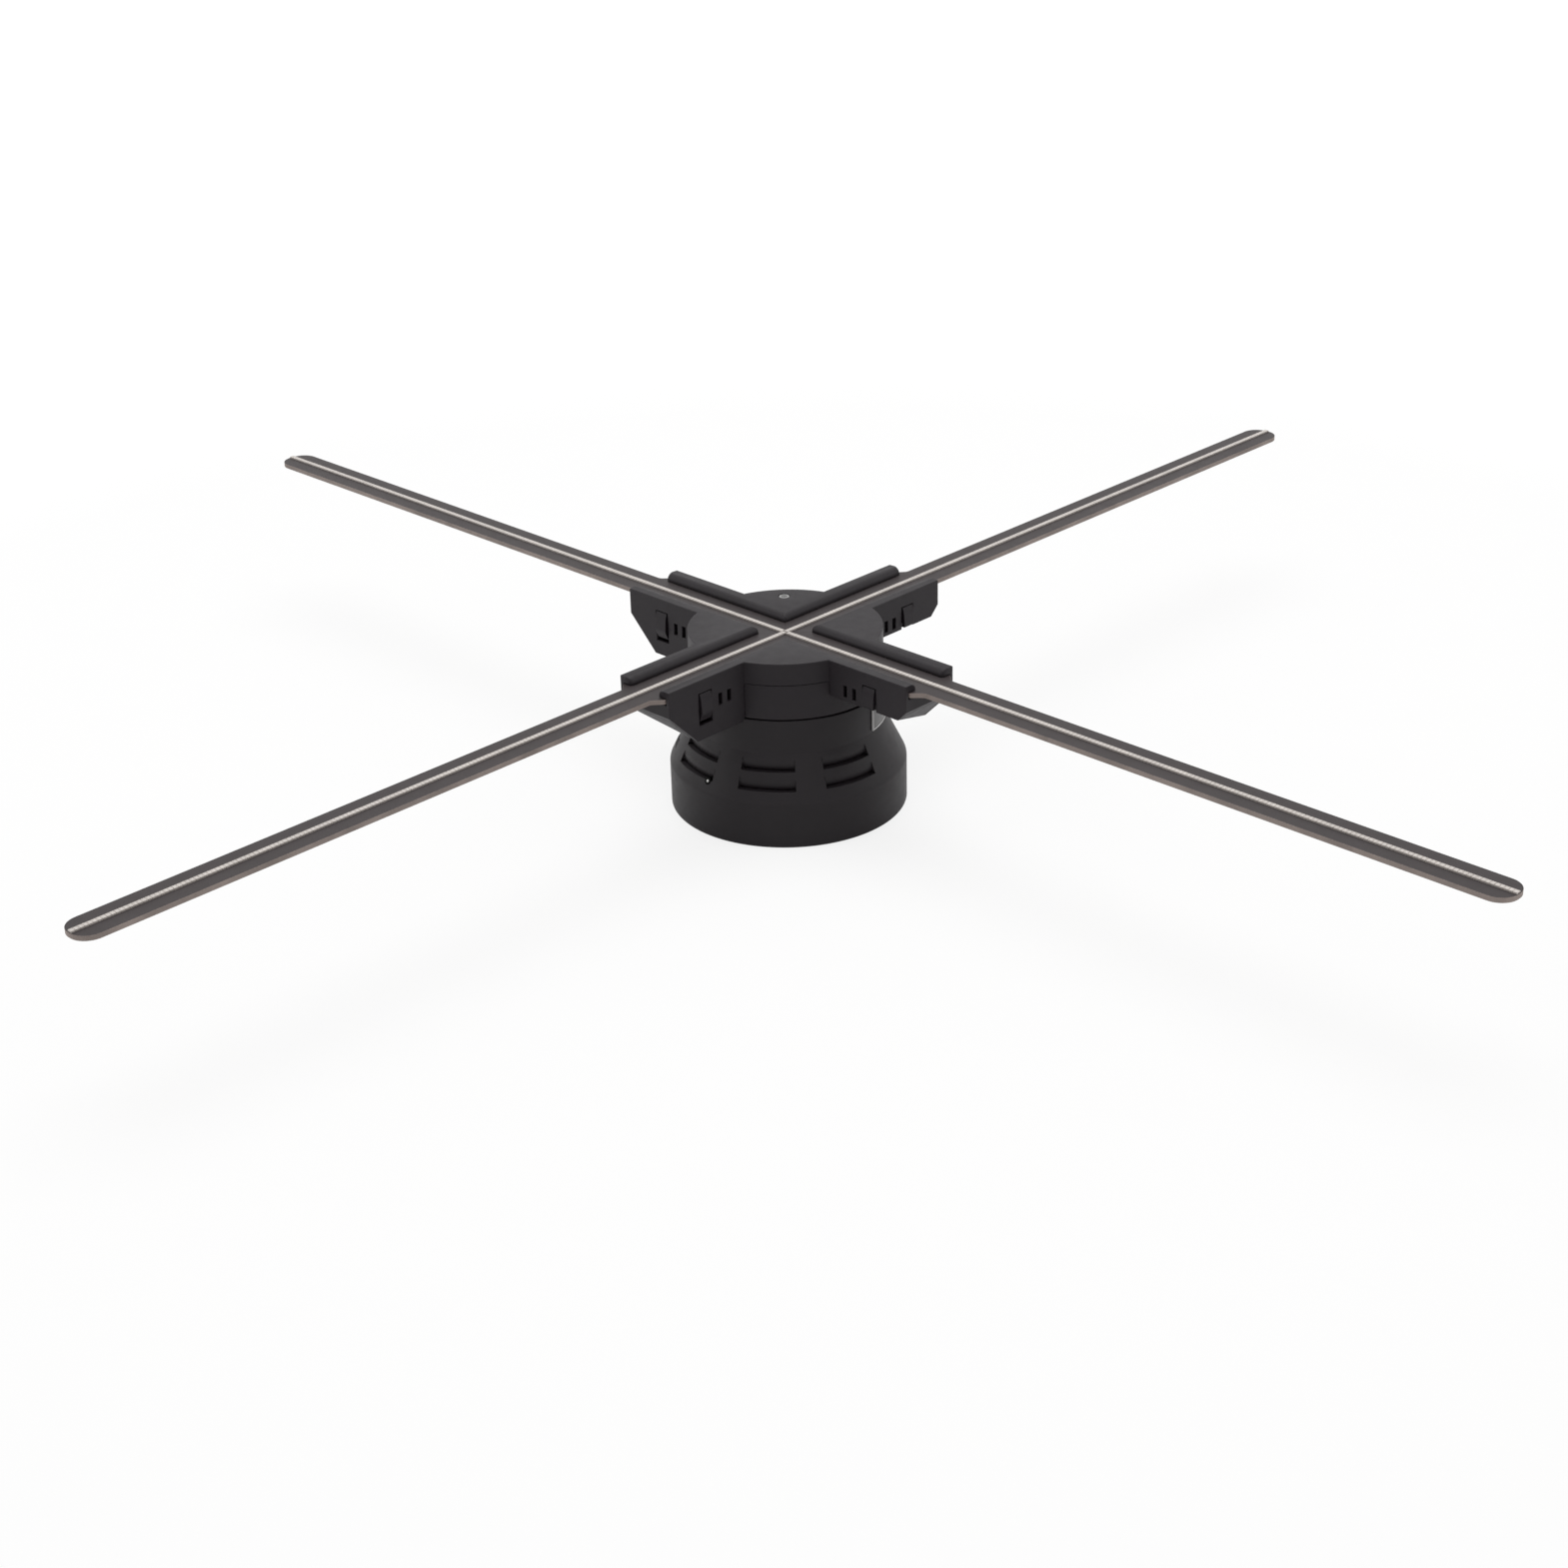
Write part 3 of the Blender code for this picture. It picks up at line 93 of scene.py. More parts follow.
# Range that noise mostly keeps to, then features per metre and finer layers for the colour and the roughness.
NOISE_RANGE = (0.3, 0.7)
PATCHES = (90.0, 3.0)
SMEARS = (230.0, 4.0)

# Strength of every relief, then how the single kinds of relief are layered, stretched and bent.
BUMP_STRENGTH = 0.6
FINE_LAYERS = 3.0
SATIN_SCALE = 0.4
SATIN_LAYERS = 1.0
BRUSH_STRETCH = (1.0, 1.0, 0.04)
WAVE_UNIT = 20.0
WAVE_LAYERS = 2.0
WAVE_DISTORTION = 0.6
WOUND_DISTORTION = 1.5


class Relief(Enum):
    """How the fine surface detail of a finish runs."""

    SPECKLE = "speckle"
    SATIN = "satin"
    BRUSHED = "brushed"
    TURNED = "turned"
    WOUND = "wound"
    STACKED = "stacked"


class Arm(Enum):
    """The four arms, numbered as the blades are."""

    BACK_RIGHT = 1
    BACK_LEFT = 2
    FRONT_LEFT = 3
    FRONT_RIGHT = 4

    @property
    def angle(self) -> float:
        """Direction of the arm from +X, in radians."""
        return math.radians(90.0 * self.value - 45.0)


class Wall(Enum):
    """The two side walls of an arm, by the letter of their latch."""

    DEEP = "a"
    SHALLOW = "b"

    @property
    def inward(self) -> float:
        """Sign of the direction across the arm that leads from the wall to the middle."""
        return -1.0 if self is Wall.DEEP else 1.0


class NodeSheet:
    """A material's node tree while it is being laid out."""

    def __init__(self, name: str) -> None:
        """Starts an empty material.

        Args:
            name: Name of the material.
        """
        self.material = bpy.data.materials.new(name)
        self.material.use_nodes = True
        self.tree = self.material.node_tree
        self.tree.nodes.clear()

    def add(self, kind: str, **settings: object) -> bpy.types.Node:
        """Adds a node.

        Args:
            kind: Type of the node, without its usual prefix.
            settings: Properties of the node to set.

        Returns:
            The new node.
        """
        node = self.tree.nodes.new("ShaderNode" + kind)
        for key, value in settings.items():
            setattr(node, key, value)
        return node

    def wire(self, source: bpy.types.NodeSocket, target: bpy.types.NodeSocket) -> None:
        """Links an output to an input."""
        self.tree.links.new(source, target)

    def noise(self, vector: bpy.types.NodeSocket, scale: float, detail: float = 2.0) -> bpy.types.NodeSocket:
        """Adds a noise texture.

        Args:
            vector: Place that the noise is read at.
            scale: Number of features per metre.
            detail: Number of finer layers.

        Returns:
            The noise value, from 0 to 1.
        """
        node = self.add("TexNoise")
        node.inputs["Scale"].default_value = scale
        node.inputs["Detail"].default_value = detail
        self.wire(vector, node.inputs["Vector"])
        return node.outputs["Fac"]

    def span(self, value: bpy.types.NodeSocket, low: float, high: float) -> bpy.types.NodeSocket:
        """Stretches a noise value over a range.

        Args:
            value: Noise value.
            low: Result at the low end of the noise's range.
            high: Result at the high end.

        Returns:
            The stretched value.
        """
        node = self.add("MapRange")
        node.inputs["From Min"].default_value = NOISE_RANGE[0]
        node.inputs["From Max"].default_value = NOISE_RANGE[1]
        node.inputs["To Min"].default_value = low
        node.inputs["To Max"].default_value = high
        self.wire(value, node.inputs["Value"])
        return node.outputs["Result"]

    def blend(
        self,
        share: bpy.types.NodeSocket,
        first: tuple[float, float, float],
        second: tuple[float, float, float],
    ) -> bpy.types.NodeSocket:
        """Mixes two colours.

        Args:
            share: Share of the second colour.
            first: First colour.
            second: Second colour.

        Returns:
            The mixed colour.
        """
        # The node has a set of sockets per type. The colours go in at 6 and 7 and come out at 2.
        node = self.add("Mix", data_type="RGBA")
        node.inputs[6].default_value = (*first, 1.0)
        node.inputs[7].default_value = (*second, 1.0)
        self.wire(share, node.inputs[0])
        return node.outputs[2]


@dataclass(frozen=True)
class Finish:
    """A surface finish: a colour that varies a little, a roughness that varies, and a fine relief."""

    name: str
    color: tuple[float, float, float]
    roughness: float
    metallic: float = 0.0
    relief: Relief = Relief.SPECKLE
    grain: float = 0.45 * MM
    depth: float = 0.02 * MM
    mottle: float = 0.06
    wear: float = 0.03
    specular: float = 0.5

    def material(self) -> bpy.types.Material:
        """Lays the finish out as a node material.

        Returns:
            The material.
        """
        sheet = NodeSheet(self.name)
        place = sheet.add("TexCoord").outputs["Object"]
        output = sheet.add("OutputMaterial")
        shader = sheet.add("BsdfPrincipled")
        sheet.wire(shader.outputs["BSDF"], output.inputs["Surface"])
        shader.inputs["Metallic"].default_value = self.metallic
        shader.inputs["Specular IOR Level"].default_value = self.specular
        patches = sheet.noise(place, *PATCHES)
        dark = tuple(channel * (1.0 - self.mottle) for channel in self.color)
        pale = tuple(min(1.0, channel * (1.0 + self.mottle)) for channel in self.color)
        share = sheet.span(patches, 0.0, 1.0)
        sheet.wire(sheet.blend(share, dark, pale), shader.inputs["Base Color"])
        smears = sheet.noise(place, *SMEARS)
        rough = sheet.span(smears, self.roughness - self.wear, self.roughness + self.wear)
        sheet.wire(rough, shader.inputs["Roughness"])
        bump = sheet.add("Bump")
        bump.inputs["Strength"].default_value = BUMP_STRENGTH
        bump.inputs["Distance"].default_value = self.depth
        sheet.wire(self.height(sheet, place), bump.inputs["Height"])
        sheet.wire(bump.outputs["Normal"], shader.inputs["Normal"])
        return sheet.material

    def height(self, sheet: NodeSheet, place: bpy.types.NodeSocket) -> bpy.types.NodeSocket:
        """Adds the fine relief of the finish.

        Args:
            sheet: Node tree being laid out.
            place: Place on the piece.

        Returns:
            The height of the relief.
        """
        scale = 1.0 / self.grain
        if self.relief is Relief.SPECKLE:
            return sheet.noise(place, scale, FINE_LAYERS)
        if self.relief is Relief.SATIN:
            return sheet.noise(place, scale * SATIN_SCALE, SATIN_LAYERS)
        if self.relief is Relief.BRUSHED:
            stretch = sheet.add("Mapping")
            stretch.inputs["Scale"].default_value = BRUSH_STRETCH
            sheet.wire(place, stretch.inputs["Vector"])
            return sheet.noise(stretch.outputs["Vector"], scale, FINE_LAYERS)
        stacked = self.relief is Relief.STACKED
        wound = self.relief is Relief.WOUND
        waves = sheet.add("TexWave", wave_type="BANDS" if stacked else "RINGS")
        waves.bands_direction = waves.rings_direction = "Z"
        waves.inputs["Scale"].default_value = scale / WAVE_UNIT
        waves.inputs["Detail"].default_value = WAVE_LAYERS
        waves.inputs["Distortion"].default_value = WOUND_DISTORTION if wound else WAVE_DISTORTION
        sheet.wire(place, waves.inputs["Vector"])
        return waves.outputs["Fac"]


MOULDED = {"grain": 0.40 * MM, "depth": 0.03 * MM, "specular": 0.24}
HOUSING_PLASTIC = Finish("base moulding", (0.0125, 0.0100, 0.0118), 0.48, **MOULDED)
HUB_PLASTIC = Finish("hub moulding", (0.0148, 0.0116, 0.0142), 0.48, **MOULDED)
LATCH_PLASTIC = Finish("latch moulding", (0.0148, 0.0116, 0.0142), 0.47, **MOULDED)
BOARD_MASK = Finish(
    "board lacquer", (0.046, 0.0385, 0.0395), 0.48, relief=Relief.SATIN, grain=0.8 * MM, specular=0.2
)
BOARD_EDGE = Finish("bare board edge", (0.275, 0.226, 0.205), 0.62, grain=0.25 * MM, mottle=0.20)
LED_BODY = Finish("LED body", (0.57, 0.525, 0.49), 0.42, relief=Relief.SATIN, grain=0.5 * MM, mottle=0.08)
LED_WINDOW = Finish("LED window", (0.63, 0.59, 0.555), 0.30, relief=Relief.SATIN, grain=0.5 * MM, mottle=0.10)
CHIP_RESIN = Finish("chip resin", (0.020, 0.020, 0.021), 0.55, grain=0.15 * MM)
SOLDER = Finish("solder", (0.72, 0.71, 0.69), 0.32, 1.0, Relief.SATIN, 0.3 * MM)
CONTACT_GOLD = Finish("contact gold", (0.83, 0.60, 0.26), 0.28, 1.0, Relief.SATIN, 0.3 * MM)
CLEAR_PLASTIC = Finish("clear plastic", (0.86, 0.86, 0.84), 0.18, relief=Relief.SATIN, mottle=0.04)
LENS_RING = Finish("lens ring", (0.36, 0.36, 0.355), 0.30, relief=Relief.SATIN, mottle=0.05)
LENS_DOME = Finish("lens dome", (0.10, 0.10, 0.10), 0.16, relief=Relief.SATIN, mottle=0.05)
# Near-black, barely glossy socket ring round the status lamp: painted shade standing in for the dark gap
# round the lamp.
LAMP_SOCKET_SHADE = Finish("lamp socket painted shade", (0.003, 0.003, 0.003), 0.60, specular=0.06)
BLANK_FILM = Finish("blank film", (0.085, 0.083, 0.083), 0.38, relief=Relief.SATIN, grain=1.2 * MM)
# Pale colour of the neck plate's raised border: a painted highlight along its rim.
FILM_BORDER_HIGHLIGHT = Finish("film border painted highlight", (0.52, 0.515, 0.51), 0.40, relief=Relief.SATIN, grain=1.2 * MM)
INLET_PLASTIC = Finish("inlet plastic", (0.014, 0.014, 0.014), 0.34, relief=Relief.SATIN)
GREEN_BOARD = Finish("green board", (0.016, 0.085, 0.036), 0.36, relief=Relief.SATIN, grain=0.8 * MM)
ALUMINIUM = Finish("turned aluminium", (0.60, 0.60, 0.61), 0.34, 1.0, Relief.TURNED, 0.15 * MM, 0.01 * MM)
STEEL = Finish("ground steel", (0.58, 0.58, 0.58), 0.26, 1.0, Relief.BRUSHED, 0.2 * MM, 0.01 * MM)
LAMINATION = Finish("stacked steel", (0.30, 0.30, 0.31), 0.44, 1.0, Relief.STACKED, 0.35 * MM, 0.03 * MM)
COPPER = Finish("enamelled copper", (0.50, 0.19, 0.075), 0.36, 1.0, Relief.WOUND, 0.35 * MM, 0.06 * MM)
MAGNET = Finish("bonded magnet", (0.075, 0.075, 0.078), 0.58, grain=0.3 * MM)
DARK_STEEL = Finish("dark zinc", (0.20, 0.20, 0.20), 0.36, 1.0, Relief.BRUSHED, 0.2 * MM, 0.01 * MM)


class FinishRack:
    """Keeps one material per finish, so that pieces share them."""

    made: dict[str, bpy.types.Material] = {}

    @classmethod
    def get(cls, finish: Finish) -> bpy.types.Material:
        """Gives the material of a finish, and lays it out on first use.

        Args:
            finish: The finish.

        Returns:
            Its material.
        """
        if finish.name not in cls.made:
            cls.made[finish.name] = finish.material()
        return cls.made[finish.name]


@dataclass
class Surface:
    """Points and faces of a piece, with the number of the finish that each face wears."""

    points: np.ndarray
    quads: np.ndarray
    tags: np.ndarray
    caps: list[np.ndarray] = field(default_factory=list)
    cap_tags: list[int] = field(default_factory=list)

    @classmethod
    def grid(cls, points: np.ndarray, wrap_rows: bool = False, wrap_columns: bool = False) -> "Surface":
        """Covers a grid of points with quads: each face joins four neighbouring points.

        Args:
            points: Points as an array of rows, columns and coordinates.
            wrap_rows: Whether the last row joins the first.
            wrap_columns: Whether the last column joins the first.

        Returns:
            The surface, in its first finish.
        """
        rows, columns = points.shape[:2]
        row, column = np.meshgrid(
            np.arange(rows if wrap_rows else rows - 1),
            np.arange(columns if wrap_columns else columns - 1),
            indexing="ij",
        )
        below = (row + 1) % rows
        beside = (column + 1) % columns
        corners = [
            row * columns + column,
            row * columns + beside,
            below * columns + beside,
            below * columns + column,
        ]
        quads = np.stack(corners, axis=-1).reshape(-1, 4)
        return cls(points.reshape(-1, 3), quads, np.zeros(len(quads), dtype=int))

    @classmethod
    def stack(cls, loops: np.ndarray, side_tag: int = 0, cap_tags: tuple[int, int] = (0, 0)) -> "Surface":
        """Joins closed loops one above the other and closes both ends with a flat face.

        Args:
            loops: Loops as an array of levels, points and coordinates.
            side_tag: Number of the finish between the levels.
            cap_tags: Numbers of the finishes of the first and the last end.

        Returns:
            The closed surface.
        """
        made = cls.grid(loops, wrap_columns=True)
        levels, count = loops.shape[:2]
        made.tags += side_tag
        made.caps = [np.arange(count)[::-1], (levels - 1) * count + np.arange(count)]
        made.cap_tags = list(cap_tags)
        return made

    @classmethod
    def revolve(cls, profile: np.ndarray, steps: int, closed: bool = True) -> "Surface":
        """Turns a profile about the spin axis: a point is (r cos a, r sin a, z) for each radius and angle.

        Args:
            profile: Radius and height of each point of the profile.
            steps: Number of steps in a full turn.
            closed: Whether the profile is a closed ring.

        Returns:
            The surface.
        """
        angle = np.linspace(0.0, TURN, steps, endpoint=False)
        radius = profile[:, 0][:, None]
        height = np.broadcast_to(profile[:, 1][:, None], (len(profile), steps))
        points = np.stack([radius * np.cos(angle), radius * np.sin(angle), height], axis=-1)
        return cls.grid(points, wrap_rows=closed, wrap_columns=True)

    def moved(self, turn: float = 0.0, shift: tuple[float, float, float] = (0.0, 0.0, 0.0)) -> "Surface":
        """Gives a copy that is shifted and then turned about the spin axis.

        Args:
            turn: Angle of the turn.
            shift: Shift before the turn.

        Returns:
            The copy.
        """
        cos, sin = math.cos(turn), math.sin(turn)
        spin = np.array([[cos, sin, 0.0], [-sin, cos, 0.0], [0.0, 0.0, 1.0]])
        points = (self.points + np.asarray(shift)) @ spin
        return Surface(points, self.quads, self.tags, self.caps, self.cap_tags)

    def tiled(self, shifts: np.ndarray) -> "Surface":
        """Gives many shifted copies as one surface: every point is repeated at every shift.

        Args:
            shifts: One shift per copy.

        Returns:
            All the copies together.
        """
        count = len(self.points)
        points = (shifts[:, None, :] + self.points[None, :, :]).reshape(-1, 3)
        starts = np.arange(len(shifts)) * count
        quads = (starts[:, None, None] + self.quads[None, :, :]).reshape(-1, 4)
        caps = [cap + start for start in starts for cap in self.caps]
        return Surface(points, quads, np.tile(self.tags, len(shifts)), caps, self.cap_tags * len(shifts))

    def joined(self, *others: "Surface") -> "Surface":
        """Gives this surface and others as one.

        Args:
            others: The other surfaces.

        Returns:
            All of them together.
        """
        points, quads, tags = [self.points], [self.quads], [self.tags]
        caps, cap_tags = list(self.caps), list(self.cap_tags)
        start = len(self.points)
        for other in others:
            points.append(other.points)
            quads.append(other.quads + start)
            tags.append(other.tags)
            caps += [cap + start for cap in other.caps]
            cap_tags += other.cap_tags
            start += len(other.points)
        return Surface(np.concatenate(points), np.concatenate(quads), np.concatenate(tags), caps, cap_tags)

    def mesh(self, name: str, merge: float = 0.0) -> bpy.types.Mesh:
        """Writes the surface to a mesh.

        Args:
            name: Name of the mesh.
            merge: Distance within which points become one, or 0 for none.

        Returns:
            The mesh.
        """
        made = bpy.data.meshes.new(name)
        sizes = np.array([4] * len(self.quads) + [len(cap) for cap in self.caps], dtype=np.int32)
        corners = np.concatenate([self.quads.ravel(), *self.caps]).astype(np.int32)
        made.vertices.add(len(self.points))
        made.vertices.foreach_set("co", np.ascontiguousarray(self.points, dtype=np.float32).ravel())
        made.loops.add(len(corners))
        made.loops.foreach_set("vertex_index", corners)
        made.polygons.add(len(sizes))
        made.polygons.foreach_set("loop_start", (np.cumsum(sizes) - sizes).astype(np.int32))
        tags = np.concatenate([self.tags, self.cap_tags]).astype(np.int32)
        made.polygons.foreach_set("material_index", tags)
        made.update(calc_edges=True)
        shape = bmesh.new()
        shape.from_mesh(made)
        if merge > 0.0:
            bmesh.ops.remove_doubles(shape, verts=shape.verts[:], dist=merge)
            bmesh.ops.dissolve_degenerate(shape, edges=shape.edges[:], dist=merge)
        bmesh.ops.recalc_face_normals(shape, faces=shape.faces[:])
        shape.to_mesh(made)
        shape.free()
        smooth(made)
        return made


def smooth(mesh: bpy.types.Mesh) -> None:
    """Shades a mesh smooth between its sharp edges.

    Args:
        mesh: The mesh.
    """
    mesh.polygons.foreach_set("use_smooth", np.ones(len(mesh.polygons), dtype=bool))
    mesh.set_sharp_from_angle(angle=math.radians(SHARP_ANGLE))
    mesh.update()


def rounded(corners: list[tuple[float, float, float]], steps: int = ARC_STEPS) -> np.ndarray:
    """Turns the corners of a closed path into arcs.

    Each arc is centre + radius (cos a, sin a), with its centre on the line that halves the corner.

    Args:
        corners: Place and radius of each corner.
        steps: Number of steps in each arc.

    Returns:
        The points of the path.
    """
    path = []
    for index, (x, y, radius) in enumerate(corners):
        here = np.array([x, y])
        if radius <= 0.0:
            path.append(here[None, :])
            continue
        before = np.array(corners[index - 1][:2]) - here
        after = np.array(corners[(index + 1) % len(corners)][:2]) - here
        before /= np.linalg.norm(before)
        after /= np.linalg.norm(after)
        half = math.acos(float(np.clip(before @ after, -1.0, 1.0))) / 2
        inward = (before + after) / np.linalg.norm(before + after)
        centre = here + inward * radius / math.sin(half)
        first = here + before * radius / math.tan(half) - centre
        last = here + after * radius / math.tan(half) - centre
        start = math.atan2(first[1], first[0])
        sweep = (math.atan2(last[1], last[0]) - start + math.pi) % TURN - math.pi
        angle = start + sweep * np.linspace(0.0, 1.0, steps + 1)
        path.append(centre + radius * np.stack([np.cos(angle), np.sin(angle)], axis=-1))
    return np.concatenate(path)


def inset(path: np.ndarray, distance: float) -> np.ndarray:
    """Moves a closed anticlockwise path inwards along its own normals.

    Args:
        path: Points of the path.
        distance: How far it moves.

    Returns:
        The moved path.
    """
    before = path - np.roll(path, 1, axis=0)
    after = np.roll(path, -1, axis=0) - path
    before /= np.maximum(np.linalg.norm(before, axis=1, keepdims=True), NEARLY_ZERO)
    after /= np.maximum(np.linalg.norm(after, axis=1, keepdims=True), NEARLY_ZERO)
    first = np.stack([-before[:, 1], before[:, 0]], axis=-1)
    second = np.stack([-after[:, 1], after[:, 0]], axis=-1)
    middle = first + second
    scale = 2.0 / np.maximum((middle * middle).sum(axis=1, keepdims=True), MITRE_LIMIT)
    return path + middle * scale * distance


def slab(
    path: np.ndarray, low: float, high: float, edge: float, rim_tag: int = 0, cap_tag: int = 0
) -> Surface:
    """A flat plate with softened edges: its outline is stacked at four heights, drawn in at both ends.

    Args:
        path: Outline of the plate, anticlockwise.
        low: Height of its underside.
        high: Height of its top.
        edge: Width of the softened edge.
        rim_tag: Number of the finish on its rim.
        cap_tag: Number of the finish on its two faces.

    Returns:
        The plate.
    """
    levels = [(edge, low), (0.0, low + edge), (0.0, high - edge), (edge, high)]
    loops = [np.column_stack([inset(path, away), np.full(len(path), height)]) for away, height in levels]
    return Surface.stack(np.stack(loops), rim_tag, (cap_tag, cap_tag))


def block(
    low: tuple[float, float, float], high: tuple[float, float, float], edge: float, tag: int = 0
) -> Surface:
    """A box with softened edges.

    Args:
        low: Lowest corner.
        high: Highest corner.
        edge: Width of the softened edges.
        tag: Number of the finish.

    Returns:
        The box.
    """
    corners = [
        (low[0], low[1], edge),
        (high[0], low[1], edge),
        (high[0], high[1], edge),
        (low[0], high[1], edge),
    ]
    return slab(rounded(corners, BLOCK_STEPS), low[2], high[2], edge, tag, tag)


def as_shifts(along: object = 0.0, across: object = 0.0, height: object = 0.0) -> np.ndarray:
    """Gives one shift per number of the rows that it gets, where a single number holds for all."""
    return np.stack(np.broadcast_arrays(along, across, height), axis=-1)


def piece(mesh: bpy.types.Mesh, name: str, body: str, slot: str, *finishes: Finish) -> bpy.types.Object:
    """Puts a mesh into the scene as a piece that rides on a body.

    Args:
        mesh: The mesh, in the shared frame.
        name: Name of the piece.
        body: Body that carries it.
        slot: Name of a material slot of the record. It is not used.
        finishes: Finishes in the order of the mesh's numbers.

    Returns:
        The piece.
    """
    made = bpy.data.objects.new(name, mesh)
    bpy.context.scene.collection.objects.link(made)
    for finish in finishes:
        mesh.materials.append(FinishRack.get(finish))
    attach(made, body)
    LOG.info("%s: %d faces on %s", name, len(mesh.polygons), body)
    return made


def bevel(made: bpy.types.Object, width: float, angle: float = 35.0) -> bpy.types.BevelModifier:
    """Softens the sharp edges of a piece.

    Args:
        made: The piece.
        width: Width of the soft edge.
        angle: Angle in degrees above which an edge is softened.

    Returns:
        The modifier that softens them.
    """
    modifier = made.modifiers.new("soft edges", "BEVEL")
    modifier.width = width
    modifier.segments = SOFT_STEPS
    modifier.limit_method = "ANGLE"
    modifier.angle_limit = math.radians(angle)
    modifier.use_clamp_overlap = False
    modifier.harden_normals = True
    return modifier


def read(items: bpy.types.bpy_prop_collection, key: str, width: int = 1, kind: type = np.int32) -> np.ndarray:
    """Reads one property of every item of a mesh.

    Args:
        items: The items, such as the mesh's points.
        key: Name of the property.
        width: How many numbers it holds.
        kind: Type of these numbers.

    Returns:
        The numbers, in one row per item where there are several.
    """
    values = np.empty(len(items) * width, dtype=kind)
    items.foreach_get(key, values)
    return values.reshape(-1, width) if width > 1 else values


class CadCopy:
    """A copy of a CAD node, merged and cleaned so that its edges can be softened."""

    def __init__(self, node: bpy.types.Object) -> None:
        """Reads the node.

        Args:
            node: The CAD node.
        """
        self.name = node.name
        mesh = node.data
        points = read(mesh.vertices, "co", 3, np.float32)
        corners = read(mesh.loops, "vertex_index")
        keys = np.round(points.astype(float) / SNAP_DISTANCE).astype(np.int64)
        _, first, inverse = np.unique(keys, axis=0, return_index=True, return_inverse=True)
        self.points = points[first]
        self.triangles = inverse.reshape(-1)[corners].reshape(-1, 3)

    def mesh(self) -> bpy.types.Mesh:
        """Writes the copy with its flat faces joined up.

        Returns:
            The mesh.
        """
        made = bpy.data.meshes.new(self.name + " soft")
        made.from_pydata(self.points, [], self.triangles)
        shape = bmesh.new()
        shape.from_mesh(made)
        bmesh.ops.remove_doubles(shape, verts=shape.verts[:], dist=MERGE_DISTANCE)
        bmesh.ops.dissolve_limit(
            shape,
            angle_limit=math.radians(FLAT_ANGLE),
            verts=shape.verts[:],
            edges=shape.edges[:],
        )
        bmesh.ops.recalc_face_normals(shape, faces=shape.faces[:])
        shape.to_mesh(made)
        shape.free()
        smooth(made)
        return made


def weigh_edges(mesh: bpy.types.Mesh, shortest: float, level: float) -> None:
    """Marks the outward edges that a softened copy may round with a weight of 1, and the rest with 0.

    An edge counts when its two faces turn away from each other by enough and it is long enough. It is outward
    where the first normal, crossed with the second, points along the edge as the first face runs it.

    Args:
        mesh: A closed mesh.
        shortest: Length below which an edge is left alone.
        level: Height at which edges stay sharp, above a step too low to round.
    """
    normals = read(mesh.polygons, "normal", 3, np.float32)
    sizes = read(mesh.polygons, "loop_total")
    of_corner = read(mesh.loops, "edge_index")
    at_corner = read(mesh.loops, "vertex_index")
    ends = read(mesh.edges, "vertices", 2)
    points = read(mesh.vertices, "co", 3, np.float32)
    owner = np.repeat(np.arange(len(sizes)), sizes)
    uses = np.bincount(of_corner, minlength=len(ends))
    order = np.argsort(of_corner, kind="stable")
    starts = np.cumsum(uses) - uses
    first = owner[order[starts]]
    second = owner[order[np.minimum(starts + 1, len(order) - 1)]]
    forward = np.where(at_corner[order[starts]] == ends[:, 0], 1.0, -1.0)[:, None]
    run = (points[ends[:, 1]] - points[ends[:, 0]]) * forward
    turned = (normals[first] * normals[second]).sum(axis=1) < math.cos(math.radians(ROUND_ANGLE))
    outward = (np.cross(normals[first], normals[second]) * run).sum(axis=1) > 0.0
    long = np.linalg.norm(run, axis=1) > shortest
    clear = np.abs(points[ends][:, :, 2] - level).max(axis=1) > LEVEL_BAND
    chosen = (uses == 2) & turned & outward & long & clear
    weights = mesh.attributes.new("bevel_weight_edge", "FLOAT", "EDGE")
    weights.data.foreach_set("value", chosen.astype(np.float32))


def soft_copy(
    copy: CadCopy,
    body: str,
    slot: str,
    finish: Finish,
    width: float,
    shortest: float = 0.0,
    level: float = -1.0,
) -> None:
    """Puts a soft-edged copy of a CAD node in its place.

    Args:
        copy: The copy of the node.
        body: Body that carries it.
        slot: Material slot of the record.
        finish: Finish of the copy.
        width: Width of its soft edges.
        shortest: Length below which an edge is left alone.
        level: Height at which edges stay sharp, or one below the part for none.
    """
    mesh = copy.mesh()
    weigh_edges(mesh, shortest, level)
    made = piece(mesh, copy.name + "_moulding", body, slot, finish)
    bevel(made, width).limit_method = "WEIGHT"
    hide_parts(copy.name)


